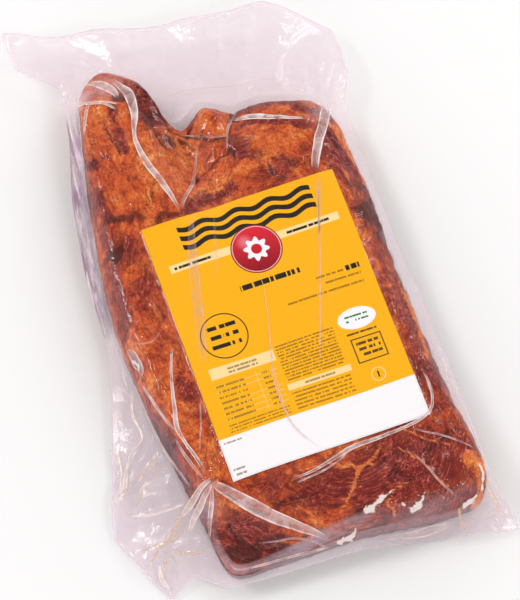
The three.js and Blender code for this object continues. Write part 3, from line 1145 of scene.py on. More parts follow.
SOFT_ROWS = (
    # as for the dark rows
    (112, 134, 79, 84, 5.0, 0.34, 2.2),
    (117, 146, 85, 90, 5.0, 0.34, 2.0),
    (85, 146, 92, 97, 5.0, 0.34, 2.0),
    (64, 110, 122, 152.5, 2.55, 0.5, 1.6),
    (64, 110, 161, 176, 3.1, 0.42, 1.8),
    (12, 34, 137, 168, 4.4, 0.36, 1.8),
    (48, 54, 137, 168, 4.4, 0.36, 1.8),
    (25, 48, 126, 132, 3.0, 0.55, 1.8),
    (11, 59, 169.5, 177, 2.5, 0.42, 1.7),
    (76, 100, 155.5, 158.7, 3.2, 0.5, 1.9),
)
GREEN_ROWS = (121, 139, 117.5, 125, 3.6, 0.4, 2.0)
FOOT_ROWS = ((3, 17, 181, 184, 3.0, 0.42, 2.0), (3, 12, 202, 210, 4.0, 0.42, 2.0))
SERVICE_FRAME = (119, 143, 137, 157)
SERVICE_INSIDE = (120, 142, 138, 156)
SERVICE_ROWS = ((122, 140, 139.5, 154.5, 4.6, 0.5, 2.4), (118, 142, 131.5, 134.5, 3.0, 0.5, 1.4))
SMALL_RING = (130, 169, 5.2, 0.8)
SMALL_BAR = (129.4, 130.6, 166.5, 171.5)
LINE_STRENGTH = 0.6
SOFT_STRENGTH = 0.72
FOOT_STRENGTH = 0.7
SERVICE_STRENGTH = 0.9
SMALL_STRENGTH = 0.8

# %% [markdown]
# The seal is a red disc with a darker rim, a pale line inside the rim and a light that fades across it. Its
# rosette is a circle whose radius swings eight times on the way round.

# %% Insert finish
SEAL_AT = (78, 43.5)
SEAL_RADIUS = 18.5
SEAL_RINGS = ((1.4, SEAL_DARK), (0.5, colour(240, 178, 178)))
SEAL_INSIDE = 0.3
SEAL_TOP = colour(226, 40, 58)
SHINE = colour(255, 170, 170)
SHINE_OFF = (-7, -8)
SHINE_RADIUS = 8.0
SHINE_STRENGTH = 0.45
ROSETTE_RADIUS = 8.6
ROSETTE_SWING = 1.5
ROSETTE_PETALS = 8.0
ROSETTE_HEART = 4.2


def strongest(masks):
    """The largest of several masks at each place."""
    return functools.reduce(Wire.greatest, masks)


def lay_seal(ink):
    x, y = SEAL_AT
    for wider, shade in SEAL_RINGS:
        ink.lay(ink.disc(x, y, SEAL_RADIUS + wider), shade)
    glow = ((ink.y - y) / (2 * SEAL_RADIUS) + 0.5).clamped()
    red = ink.finish.mix(glow, SEAL_TOP, SEAL_DARK)
    ink.lay(ink.disc(x, y, SEAL_RADIUS - SEAL_INSIDE), red)
    from_shine = ink.radius(x + SHINE_OFF[0], y + SHINE_OFF[1]) / SHINE_RADIUS
    ink.lay(1 - from_shine.step(0.1, 1.0), SHINE, SHINE_STRENGTH)
    turn = {0: ink.y - y, 1: ink.x - x}
    petal = ink.finish.node("ShaderNodeMath", {"operation": "ARCTAN2"}, turn).first
    rosette = ink.radius(x, y) - ROSETTE_RADIUS - ROSETTE_SWING * (petal * ROSETTE_PETALS).sin()
    ink.lay(ink.within(rosette), WHITE)
    ink.lay(ink.disc(x, y, ROSETTE_HEART), SEAL_RED)


def insert_finish():
    paper = Finish("yellow_print")
    ink = Print(paper, YELLOW)
    for place in CREAM_BOXES:
        ink.lay(ink.box(*place), CREAM)
    ink.lay(ink.text_rows(*TABLE_LINES), CREAM, LINE_STRENGTH)
    ink.lay(ink.box(*TABLE_COLUMN), CREAM, LINE_STRENGTH)
    ink.lay(ink.oval(*WHITE_OVAL), WHITE)
    ink.lay(ink.box(-BLEED, INSERT_WIDTH + BLEED, WHITE_STRIP_TOP, INSERT_LENGTH + BLEED), WHITE)

    dark = [ink.wave(WAVE_LEFT, WAVE_RIGHT, middle, **WAVE_SHAPE) for middle in WAVE_MIDDLES]
    dark.append(ink.ring(*STAMP, STAMP_LINE))
    dark.append(ink.text_rows(*STAMP_ROWS) * ink.disc(STAMP[0], STAMP[1], STAMP_INSIDE))
    dark += [ink.text_rows(*rows) for rows in DARK_ROWS]
    ink.lay(strongest(dark), INK)
    ink.lay(strongest([ink.text_rows(*rows) for rows in SOFT_ROWS]), SOFT_INK, SOFT_STRENGTH)
    ink.lay(ink.text_rows(*GREEN_ROWS), GREEN_INK)
    for rows in FOOT_ROWS:
        ink.lay(ink.text_rows(*rows), SOFT_INK, FOOT_STRENGTH)
    service = [(ink.box(*SERVICE_FRAME) - ink.box(*SERVICE_INSIDE)).clamped()]
    service += [ink.text_rows(*rows) for rows in SERVICE_ROWS]
    ink.lay(strongest(service), INK, SERVICE_STRENGTH)
    ink.lay(ink.ring(*SMALL_RING), CREAM, SMALL_STRENGTH)
    ink.lay(ink.box(*SMALL_BAR), INK)
    lay_seal(ink)
    return paper.show(paper.surface(Base_Color=ink.shade, Roughness=0.7, Specular_IOR_Level=0.05))


insert_sheet.data.materials.append(insert_finish())

# %% [markdown]
# ## The film
#
# The bag is one closed skin. Vacuum pulls it onto the meat, so it starts from the slab's own grid, a hair
# outside it, and then bridges every pit: wherever the mean of a point's neighbours lies further out, the
# film moves there. At the slab's side it leaves the meat and runs straight to the margin, where the top and
# bottom films lie together.

# %% Rings of the film
CLING = 0.35
LEAST_GAP = 0.3
OVER_SHEET = 0.25
FACE_ROUNDS = 14
BRIDGING_ROUNDS = 60
MARGIN_PARTS = np.linspace(0, 1, 21)[1:] ** 1.15
BAG_WALL = ((0.3, 0.8), (1.0, 0.45), (1.8, 0.22), (3.2, 0.07), (6.0, 0.0))
HEADER_WAVE = 3
HEADER_WAVE_LENGTH = 68
HEADER_SPAN = (197, 260)
FLAP_CREASE = 2.2
FLAP_CREASES_PER_TURN = 9
FLAP_GATHER = (-102, -87)
FLAP_SPAN_X = (108, 137)
FLAP_SPAN_Y = (-18, 37)
DROOP_POWER = 0.8
LARGEST_STEP = 0.4
STRETCH_EASE = 0.8
CORNER_EASE = 0.5
SINK_BESIDE_SHEET = 3


def stretch_over(grid, rounds):
    """Lets a skin bridge its hollows: points only ever move outwards."""
    for _ in range(rounds):
        normals = grid_normals(grid)
        padded = np.concatenate([grid[:1], grid, grid[-1:]])
        rings = (padded[:-2] + padded[2:]) / 2
        mean = (rings + (np.roll(grid, 1, axis=1) + np.roll(grid, -1, axis=1)) / 2) / 2
        out = np.sum((mean - grid) * normals, axis=2, keepdims=True)
        grid = grid + normals * np.clip(out, 0, LARGEST_STEP) * STRETCH_EASE
    return grid


def bridge_corner(grid, rounds):
    """Pulls the film straight across the hollow corner between slab and margin."""
    for _ in range(rounds):
        pull = (grid[:-2] + grid[2:]) / 2 - grid[1:-1]
        grid[1:-1] += CORNER_EASE * pull * (pull[:, :, 2:] > 0)
    return grid


def margin_middle(part):
    """The middle of the welded margin; part runs from 0 at the slab to 1 at the bag's edge."""
    spot = side + (edge - side) * part
    x, y = spot[:, 0], spot[:, 1]
    z = side[:, 2] + (edge[:, 2] - side[:, 2]) * part**DROOP_POWER
    header = HEADER_WAVE * smoothstep(y, *HEADER_SPAN) * np.sin(2 * np.pi * x / HEADER_WAVE_LENGTH)
    fan = np.arctan2(y - FLAP_GATHER[1], x - FLAP_GATHER[0])
    near_left = smoothstep(-x, *FLAP_SPAN_X) * smoothstep(-y, *FLAP_SPAN_Y)
    flap = FLAP_CREASE * near_left * np.sin(FLAP_CREASES_PER_TURN * fan)
    return np.column_stack([x, y, np.maximum(z + part * (header + flap), MARGIN_THICKNESS / 2)])


over_slab = slice(0, len(bag_top))
film_top = slab_grid[over_slab] + slab_normals[over_slab] * CLING
film_top = stretch_over(film_top, FACE_ROUNDS)
sheet_cover = inside_insert(bag_top[:, :, 0], bag_top[:, :, 1])
least_height = bag_top[:, :, 2] - OVER_SHEET - SINK_BESIDE_SHEET * (1 - sheet_cover)
film_top[:, :, 2] = np.maximum(film_top[:, :, 2], least_height)

margin_width = np.linalg.norm(edge[:, :2] - side[:, :2], axis=1)
upper, lower = [], []
for part in MARGIN_PARTS:
    middle = margin_middle(part)
    tent = TENT_HEIGHT * np.exp(-part * margin_width / TENT_REACH) * (1 - part)
    upper.append(middle + np.column_stack([0 * tent, 0 * tent, MARGIN_THICKNESS / 2 + tent]))
    lower.append(middle - [0, 0, MARGIN_THICKNESS / 2])
corner_rings = len(SHOULDER_PARTS)
corner = bridge_corner(np.concatenate([film_top[-corner_rings:], upper]), BRIDGING_ROUNDS)
wall = []
for inset, share in BAG_WALL:
    wall.append(np.column_stack([inwards(side, inset), share * (side[:, 2] - MARGIN_THICKNESS / 2)]))
film_grid = np.concatenate([film_top[:-corner_rings], corner, lower[::-1], wall])
off_slab = film_grid[over_slab] - slab_grid[over_slab]
gap = np.sum(off_slab * slab_normals[over_slab], axis=2, keepdims=True)
film_grid[over_slab] += slab_normals[over_slab] * np.maximum(LEAST_GAP - gap, 0)
FACE, SHOULDER, UPPER, LOWER, WALL = range(5)
ring_kinds = [FACE] * len(FACE_PARTS) + [SHOULDER] * corner_rings
ring_kinds += [UPPER] * len(upper) + [LOWER] * len(lower) + [WALL] * len(wall)
film_kind = np.repeat(ring_kinds, AROUND).reshape(len(film_grid), AROUND)
margin_part = np.zeros(film_kind.shape)
margin_part[film_kind == UPPER] = np.repeat(MARGIN_PARTS, AROUND)
margin_part[film_kind == LOWER] = np.repeat(MARGIN_PARTS[::-1], AROUND)
print("the film has", len(film_grid), "rings")

# %% [markdown]
# Wrinkles on the film are pulled, not random: they run between the points where the bag is gathered. Each
# is a soft ridge along a short line, plus fans of fine ripples round the gathers. The same ripple moves
# both films of the margin.

# %% Wrinkles in the film
PULLED = (
    # height, width, then the line's points
    (2.0, 2.6, ((-93, -93), (-101, -102), (-109, -109), (-118, -116))),
    (1.4, 2.0, ((-94, -96), (-87, -103), (-73, -117), (-60, -131), (-43, -147), (-24, -165))),
    (1.5, 1.6, ((-88, 241), (-87, 230), (-83, 226), (-71, 221), (-65, 215), (-62, 211))),
    (1.2, 2.2, ((-17, 218), (7, 216), (37, 208), (64, 201))),
    (2.2, 2.2, ((84, 182), (86, 196), (92, 214))),
    (1.8, 1.8, ((70, 190), (66, 206), (74, 222))),
    (1.6, 2.0, ((52, 192), (50, 202), (44, 214))),
    (1.4, 2.0, ((96, 182), (100, 200), (112, 222))),
    (0.8, 3.0, ((40, 196), (30, 225), (34, 262))),
    (0.8, 3.0, ((-40, 230), (-60, 262), (-92, 300))),
    (1.0, 2.6, ((-88, 246), (-104, 268), (-120, 300))),
    (1.6, 2.4, ((-118, -56), (-135, -64), (-150, -71), (-160, -74))),
    (1.6, 2.2, ((-122, 2), (-128, -17), (-127, -37), (-145, -53), (-158, -78))),
    (1.4, 2.0, ((-111, -98), (-125, -98), (-144, -94), (-158, -90))),
    (1.6, 2.2, ((-111, -98), (-124, -110), (-137, -118), (-150, -121))),
    (1.4, 2.0, ((-137, -117), (-141, -127), (-143, -150))),
    (1.2, 2.0, ((-137, -117), (-128, -131), (-115, -134))),
    (1.0, 2.0, ((108, -150), (112, -165), (116, -186))),
    (1.0, 2.0, ((88, -172), (98, -182), (110, -190))),
)
GATHERS = (
    # x, y, reach, ripples round it, height
    (-96, -99, 26, 15, 0.8),
    (-44, 112, 22, 11, 0.35),
    (83, -92, 24, 13, 0.3),
    (97, 180, 26, 13, 0.8),
    (-86, 236, 22, 12, 0.6),
    (100, -170, 22, 13, 0.7),
    (-138, -118, 26, 11, 0.8),
    (-22, 196, 24, 11, 0.5),
)
# Shares of a pulled wrinkle's length over which it rises and fades.
PULL_RISES = (0, 0.15)
PULL_FADES = (0.8, 1)
GATHER_KNOT = (1, 8)
GATHER_ECHO = 0.5
ECHO_TURN = 1.3
MARGIN_WAVE = 0.8
MARGIN_WAVE_SIZE = 34
CREASE_BEND = 0.35
CREASE_BEND_SIZE = 60
CREASED_FROM = (0, 0.3)
SHEET_SMOOTHS = 0.8
LEAST_UPPER = 1.2
LEAST_LOWER = 0.3
CREASES = (
    # direction of the creases in degrees, distance between them, height
    (12, 63, 1.1),
    (74, 85, 1.3),
    (128, 52, 0.8),
    (161, 97, 1.2),
)


def film_wrinkles(x, y):
    """Lift of the film by pulled wrinkles and by the ripples round the gathers."""
    lift = np.zeros(x.shape)
    for height, width, line in PULLED:
        gap, along = line_distance(x, y, line)
        fade = smoothstep(along, *PULL_RISES) * (1 - smoothstep(along, *PULL_FADES))
        lift += height * fade * np.exp(-((gap / width) ** 2))
    for at_x, at_y, reach, ripples, height in GATHERS:
        away = np.hypot(x - at_x, y - at_y)
        turn = np.arctan2(y - at_y, x - at_x)
        ring = smoothstep(away, *GATHER_KNOT) * np.exp(-((away / reach) ** 2))
        echo = GATHER_ECHO * np.sin((ripples * 2 + 1) * turn + ECHO_TURN)
        lift += height * ring * (np.sin(ripples * turn) + echo)
    return lift


def crumple(x, y):
    """Flat facets that meet in creases, as in film that was folded and opened again."""
    lift = np.zeros(x.shape)
    bent = CREASE_BEND * plan_lumps(x, y, CREASE_BEND_SIZE, 23)
    for turn, apart, height in CREASES:
        way = math.radians(turn)
        place = (x * math.sin(way) + y * math.cos(way)) / apart + bent
        lift += height * (4 * np.abs(place - np.round(place)) - 1)
    return lift


film_x, film_y = film_grid[:, :, 0], film_grid[:, :, 1]
on_meat = film_kind <= SHOULDER
wrinkles = film_wrinkles(film_x, film_y)
meat_lift = np.maximum(wrinkles, 0) * (1 - SHEET_SMOOTHS * inside_insert(film_x, film_y))
margin_lift = wrinkles + MARGIN_WAVE * plan_lumps(film_x, film_y, MARGIN_WAVE_SIZE, 21)
margin_lift = margin_lift + crumple(film_x, film_y) * smoothstep(margin_part, *CREASED_FROM)
lift = np.select([film_kind == WALL, on_meat], [0, meat_lift], margin_lift)
lowest = np.select([film_kind == UPPER, film_kind == LOWER], [LEAST_UPPER, LEAST_LOWER], 0.0)
film_grid[:, :, 2] = np.maximum(film_grid[:, :, 2] + lift, lowest)
film_middle = [*SLAB_CENTRE, face_height(*SLAB_CENTRE) - OVER_SHEET]
bag_film = ring_body("bag_film", film_grid, film_middle, [*SLAB_CENTRE, 0.0])
print("wrinkles lift the film by up to", lift.max().round(2), "mm")

# %% [markdown]
# ## Milky film
#
# The film is clear on the meat and turns milky where it is creased, welded or stands off the meat. How
# milky and how mauve it is there is worked out once per point and kept on the mesh, as the meat's fields
# were. Soft patches are placed one by one, and the band down the left side is streaked by stretched noise.

# %% Where the film is milky
# Mauve is painted shade: it darkens the milky film where the slab's shaded sides, or the shadow beside the
# pack, show through it.
MARGIN_VEILS = (
    # x, y, reach across, reach along, turn, milk, mauve; the mauve is painted shade
    (-130, 0, 26, 40, 0, 0.2, 0.15),
    (-132, -80, 46, 70, 0, 0.16, 0.1),
    (-98, 255, 20, 34, 20, 0.25, 0.1),
    (110, 20, 9, 120, 0, 0.22, 0.1),
    (118, 205, 20, 40, 0, 0.2, 0.05),
    # A mauve band along the near side: film folded under the pack, darkened by painted shadow.
    (40, -178, 44, 9, 0, 0.22, 0.2),
    # Painted light: extra milk pales the film in the shaded trough between the lobes.
    (-10, 192, 22, 18, 0, 0.45, 0.0),
    (100, -178, 22, 20, 0, 0.22, 0.05),
)
# The band down the left side: film milky in streaks, with mauve painted shade of the slab's shaded side
# behind it.
LEFT_BAND = ((-93, 236), (-101, 208), (-114, 158), (-123, 110), (-127, 70), (-129, 42))
LEFT_BAND_REACH = 9.5
LEFT_BAND_MILK = 0.85
LEFT_BAND_SHADE = 1.0
LEFT_BAND_SQUARENESS = 4
LEFT_BAND_STARTS = (0, 0.12)
LEFT_BAND_ENDS = (0.8, 1)
LEFT_BAND_FAINT = 0.05
STREAK_SIZE = (2.6, 26)
STREAK_LEAN = 0.13
STREAK_LEAST = 0.3
STREAK_EDGES = (-0.25, 0.45)
TONE_EDGES = (-0.7, 0.1)
FACE_VEILS = (
    # as for the margin
    # Haze over the end of the long lobe: milky film, partly a painted highlight.
    (-87, 231, 13, 6, 14, 0.5, 0.15),
    # These two paint mauve shade over the film on the slab's shaded left side.
    (-110, 60, 5, 110, -5, 0.06, 0.4),
    (-113, -55, 5, 55, 6, 0.16, 0.7),
    (-66, 234, 14, 9, -20, 0.3, 0.1),
    (-104, -108, 9, 12, 0, 0.3, 0.1),
    (44, -169, 34, 5, 4, 0.15, 0.1),
    (88, 158, 10, 8, 0, 0.25, 0.2),
)
# A streaked milky band over the near end facet, its mauve painted shade of the facet behind it.
SEAM_BAND_AT = (-62, -160, 62, 26)
SEAM_BAND_FROM = (0.02, 0.08)
SEAM_BAND_TO = (0.5, 0.8)
SEAM_BAND_STREAK = (14, 4)
SEAM_BAND_LEAST = 0.35
SEAM_BAND_EDGES = (-0.4, 0.4)
SEAM_BAND_MILK = 0.65
SEAM_BAND_SHADE = 0.8
NEAR_TABLE = 15
UNDERSIDE_MILK = 0.4
THIN_VEIL = 0.004
MARGIN_VEIL = 0.2
WELD_MILK = 0.2
WELD_FROM = (0.93, 0.98)

milk = np.where(on_meat, THIN_VEIL, MARGIN_VEIL)
mauve = np.zeros(film_x.shape)
off_meat = np.isin(film_kind, (UPPER, LOWER)) | (film_grid[:, :, 2] < NEAR_TABLE)
for veils, milk_where, shade_where in ((MARGIN_VEILS, off_meat, 1), (FACE_VEILS, on_meat, on_meat)):
    for *place, amount, tone in veils:
        here = hump(film_x, film_y, *place)
        milk = np.maximum(milk, amount * here * milk_where)
        mauve = np.maximum(mauve, tone * here * shade_where)

streak_x, streak_y = (film_x - STREAK_LEAN * film_y) / STREAK_SIZE[0], film_y / STREAK_SIZE[1]
streaks, tones = (plan_lumps(streak_x, streak_y, 1.0, seed, 3) for seed in (41, 43))
gap, along = line_distance(film_x, film_y, LEFT_BAND)
in_band = np.exp(-((gap / LEFT_BAND_REACH) ** LEFT_BAND_SQUARENESS))
in_band *= smoothstep(along, *LEFT_BAND_STARTS) * (1 - smoothstep(along, *LEFT_BAND_ENDS))
in_band *= off_meat * (STREAK_LEAST + (1 - STREAK_LEAST) * smoothstep(streaks, *STREAK_EDGES))
milk = np.maximum(milk, LEFT_BAND_MILK * in_band)
band_tone = LEFT_BAND_SHADE * smoothstep(tones, *TONE_EDGES)
mauve = np.where(in_band > LEFT_BAND_FAINT, band_tone, mauve)

shoulder_part = np.zeros(film_kind.shape)
shoulder_part[film_kind == SHOULDER] = np.repeat(SHOULDER_PARTS, AROUND)
seam_band = smoothstep(shoulder_part, *SEAM_BAND_FROM) * (1 - smoothstep(shoulder_part, *SEAM_BAND_TO))
seam_streaks = plan_lumps(film_x / SEAM_BAND_STREAK[0], film_y / SEAM_BAND_STREAK[1], 1.0, 45, 3)
seam_band *= SEAM_BAND_LEAST + (1 - SEAM_BAND_LEAST) * smoothstep(seam_streaks, *SEAM_BAND_EDGES)
seam_band *= hump(film_x, film_y, *SEAM_BAND_AT)
milk = np.maximum(milk, SEAM_BAND_MILK * seam_band)
mauve = np.maximum(mauve, SEAM_BAND_SHADE * seam_band)
milk = milk + WELD_MILK * smoothstep(margin_part, *WELD_FROM)
milk = np.select([film_kind == LOWER, film_kind == WALL], [milk * UNDERSIDE_MILK, 0], milk)
add_numbers(bag_film, "milk", on_body(milk))
add_numbers(bag_film, "mauve", on_body(mauve))
print("milk covers", f"{(milk > MARGIN_VEIL).mean():.0%}", "of the film's points")

# %% [markdown]
# ## Clear film
#
# Clear film is seen mostly by what it mirrors. The finish lets light straight through with a faint rosy
# tint, mirrors a little head on and much more at a slant, and is milky by the amount kept on the mesh.
# The three are mixed by factor, so that the see-through share stays see-through.

# %% Film finish
FILM_TINT = (0.985, 0.966, 0.975, 1.0)
MILK_PALE = colour(250, 228, 240)
MILK_MAUVE_SHADE = colour(146, 108, 136)
HEAD_ON_MIRROR = 0.026
SLANT_MIRROR = 0.34
SLANT_POWER = 5.0
RIPPLE_SIZE = 19
CRINKLE_SIZE = 5
CRINKLE_SHARE = 0.3
CRINKLE_DEPTH = 1.3
VEIL_LEAST = 0.6
VEIL_WAVER = 0.8


def film_finish():
    film = Finish("clear_film")
    ripple = film.cloud(RIPPLE_SIZE, 2, warp=1.0)
    crinkle = film.bump(ripple + film.cloud(CRINKLE_SIZE, 3) * CRINKLE_SHARE, CRINKLE_DEPTH)
    waver = VEIL_LEAST + VEIL_WAVER * ripple
    # The milk turns dark mauve by the painted shade kept on the mesh.
    milk_shade = film.mix(film.number("mauve") * waver, MILK_PALE, MILK_MAUVE_SHADE)
    milky = film.surface(Base_Color=milk_shade, Roughness=0.35, Normal=crinkle)
    gloss = {"Color": (1, 1, 1, 1), "Roughness": 0.065, "Normal": crinkle}
    mirror = film.node("ShaderNodeBsdfGlossy", None, gloss)["BSDF"]
    veil = (film.number("milk") * waver).clamped()
    slant = film.node("ShaderNodeLayerWeight", None, {"Blend": 0.5})["Facing"]
    share = HEAD_ON_MIRROR + SLANT_MIRROR * slant**SLANT_POWER
    return film.show(film.blend(share, film.blend(veil, film.see_through(FILM_TINT), milky), mirror))


bag_film.data.materials.append(film_finish())

# %% [markdown]
# ## Folds pressed into the film, and painted glints
#
# Spare film folds over on itself and the vacuum presses the fold flat. Such a fold is two more layers of
# film with a bright rolled edge each side, so it's modelled as that: a thin closed ribbon that lies on the
# film, drops with it, and gets narrow where the fold runs out.
# Some ribbons are painted highlights: white gleams and bright lines where a lamp glints on the film.

# %% Ribbons on the film
film_tree = BVHTree.FromPolygons(
    [vertex.co for vertex in bag_film.data.vertices], [face.vertices for face in bag_film.data.polygons]
)
LOOK_FROM = 150.0
CURVE_STEPS = 24
FEWEST_STEPS = 4


def film_height(x, y):
    """Height of the film's upper side at a place in plan, or None beyond the bag."""
    hit = film_tree.ray_cast(Vector(to_model([x, y, LOOK_FROM])), Vector((0, 0, -1)))
    return None if hit[0] is None else hit[0].z / MM


def open_curve(points, spacing):
    """Evenly spaced points on a smooth open curve through points, and how far along each is."""
    points = np.asarray(points, float)
    padded = np.concatenate([[2 * points[0] - points[1]], points, [2 * points[-1] - points[-2]]])
    spots = []
    for i in range(1, len(padded) - 2):
        p0, p1, p2, p3 = padded[i - 1 : i + 3]
        part = np.linspace(0, 1, CURVE_STEPS, endpoint=False)[:, None]
        spots.append(
            p1
            + 0.5 * part * (p2 - p0)
            + part**2 * (p0 - 2.5 * p1 + 2 * p2 - 0.5 * p3)
            + part**3 * (1.5 * (p1 - p2) + 0.5 * (p3 - p0))
        )
    curve = np.concatenate([*spots, points[-1:]])
    travelled = np.concatenate([[0], np.cumsum(np.linalg.norm(np.diff(curve, axis=0), axis=1))])
    count = max(int(travelled[-1] / spacing), FEWEST_STEPS)
    wanted = np.linspace(0, travelled[-1], count + 1)
    even = np.column_stack([np.interp(wanted, travelled, curve[:, k]) for k in range(curve.shape[1])])
    return even, wanted / travelled[-1]


RIBBON_ACROSS = np.linspace(-1, 1, 9)
RIBBON_SPACING = 1.5
RIBBON_WAVER = 0.35
RIBBON_WAVER_SIZE = 12
LEAST_HALF_WIDTH = 0.25
LEAST_THICKNESS = 0.03
FLATNESS = 6
BEYOND_THE_BAG = 1.0


def ribbon(strength, keyed, height, lift, seed):
    """Points, faces and marks of a thin closed ribbon along a line of places and half widths."""
    curve, along = open_curve(keyed, RIBBON_SPACING)
    way = np.gradient(curve[:, :2], axis=0)
    way /= np.linalg.norm(way, axis=1)[:, None]
    left = np.column_stack([-way[:, 1], way[:, 0]])
    wander = RIBBON_WAVER * plan_lumps(curve[:, 0], curve[:, 1], RIBBON_WAVER_SIZE, 31 + seed)
    top, under, marks = [], [], []
    for spot, sideways, shift, share in zip(curve, left, wander, along):
        half = max(spot[2], LEAST_HALF_WIDTH)
        for u in RIBBON_ACROSS:
            x, y = spot[:2] + sideways * (u * half + shift)
            ground = film_height(x, y)
            ground = BEYOND_THE_BAG if ground is None else ground
            rise = height * (1 - abs(u) ** FLATNESS) * min(1.0, half)
            top.append((x, y, ground + lift + rise + LEAST_THICKNESS))
            under.append((x, y, ground + lift))
            marks.append((u, share, strength))
    faces = thin_faces(len(curve), len(RIBBON_ACROSS), rows_go_left=True)
    return np.array(top + under), faces, np.concatenate([marks, np.array(marks) * [1, 1, 0]])


def build_ribbons(name, ribbons, height, lift):
    """One piece of several ribbons, each point marked with its place across, along and how strong it is."""
    points, faces, marks = [], [], []
    start = 0
    for seed, (strength, keyed) in enumerate(ribbons):
        some_points, some_faces, some_marks = ribbon(strength, keyed, height, lift, seed)
        points.append(some_points)
        faces += [tuple(start + k for k in face) for face in some_faces]
        marks.append(some_marks)
        start += len(some_points)
    piece = make_piece(name, np.concatenate(points), faces)
    add_vectors(piece, "fold", np.concatenate(marks))
    return piece


# %% [markdown]
# Each fold is one short line, with its half width at every point of it. The strength before it says how
# milky the fold is. Folds stronger than 2 are painted highlights: the white gleams that a lamp leaves on the
# film.

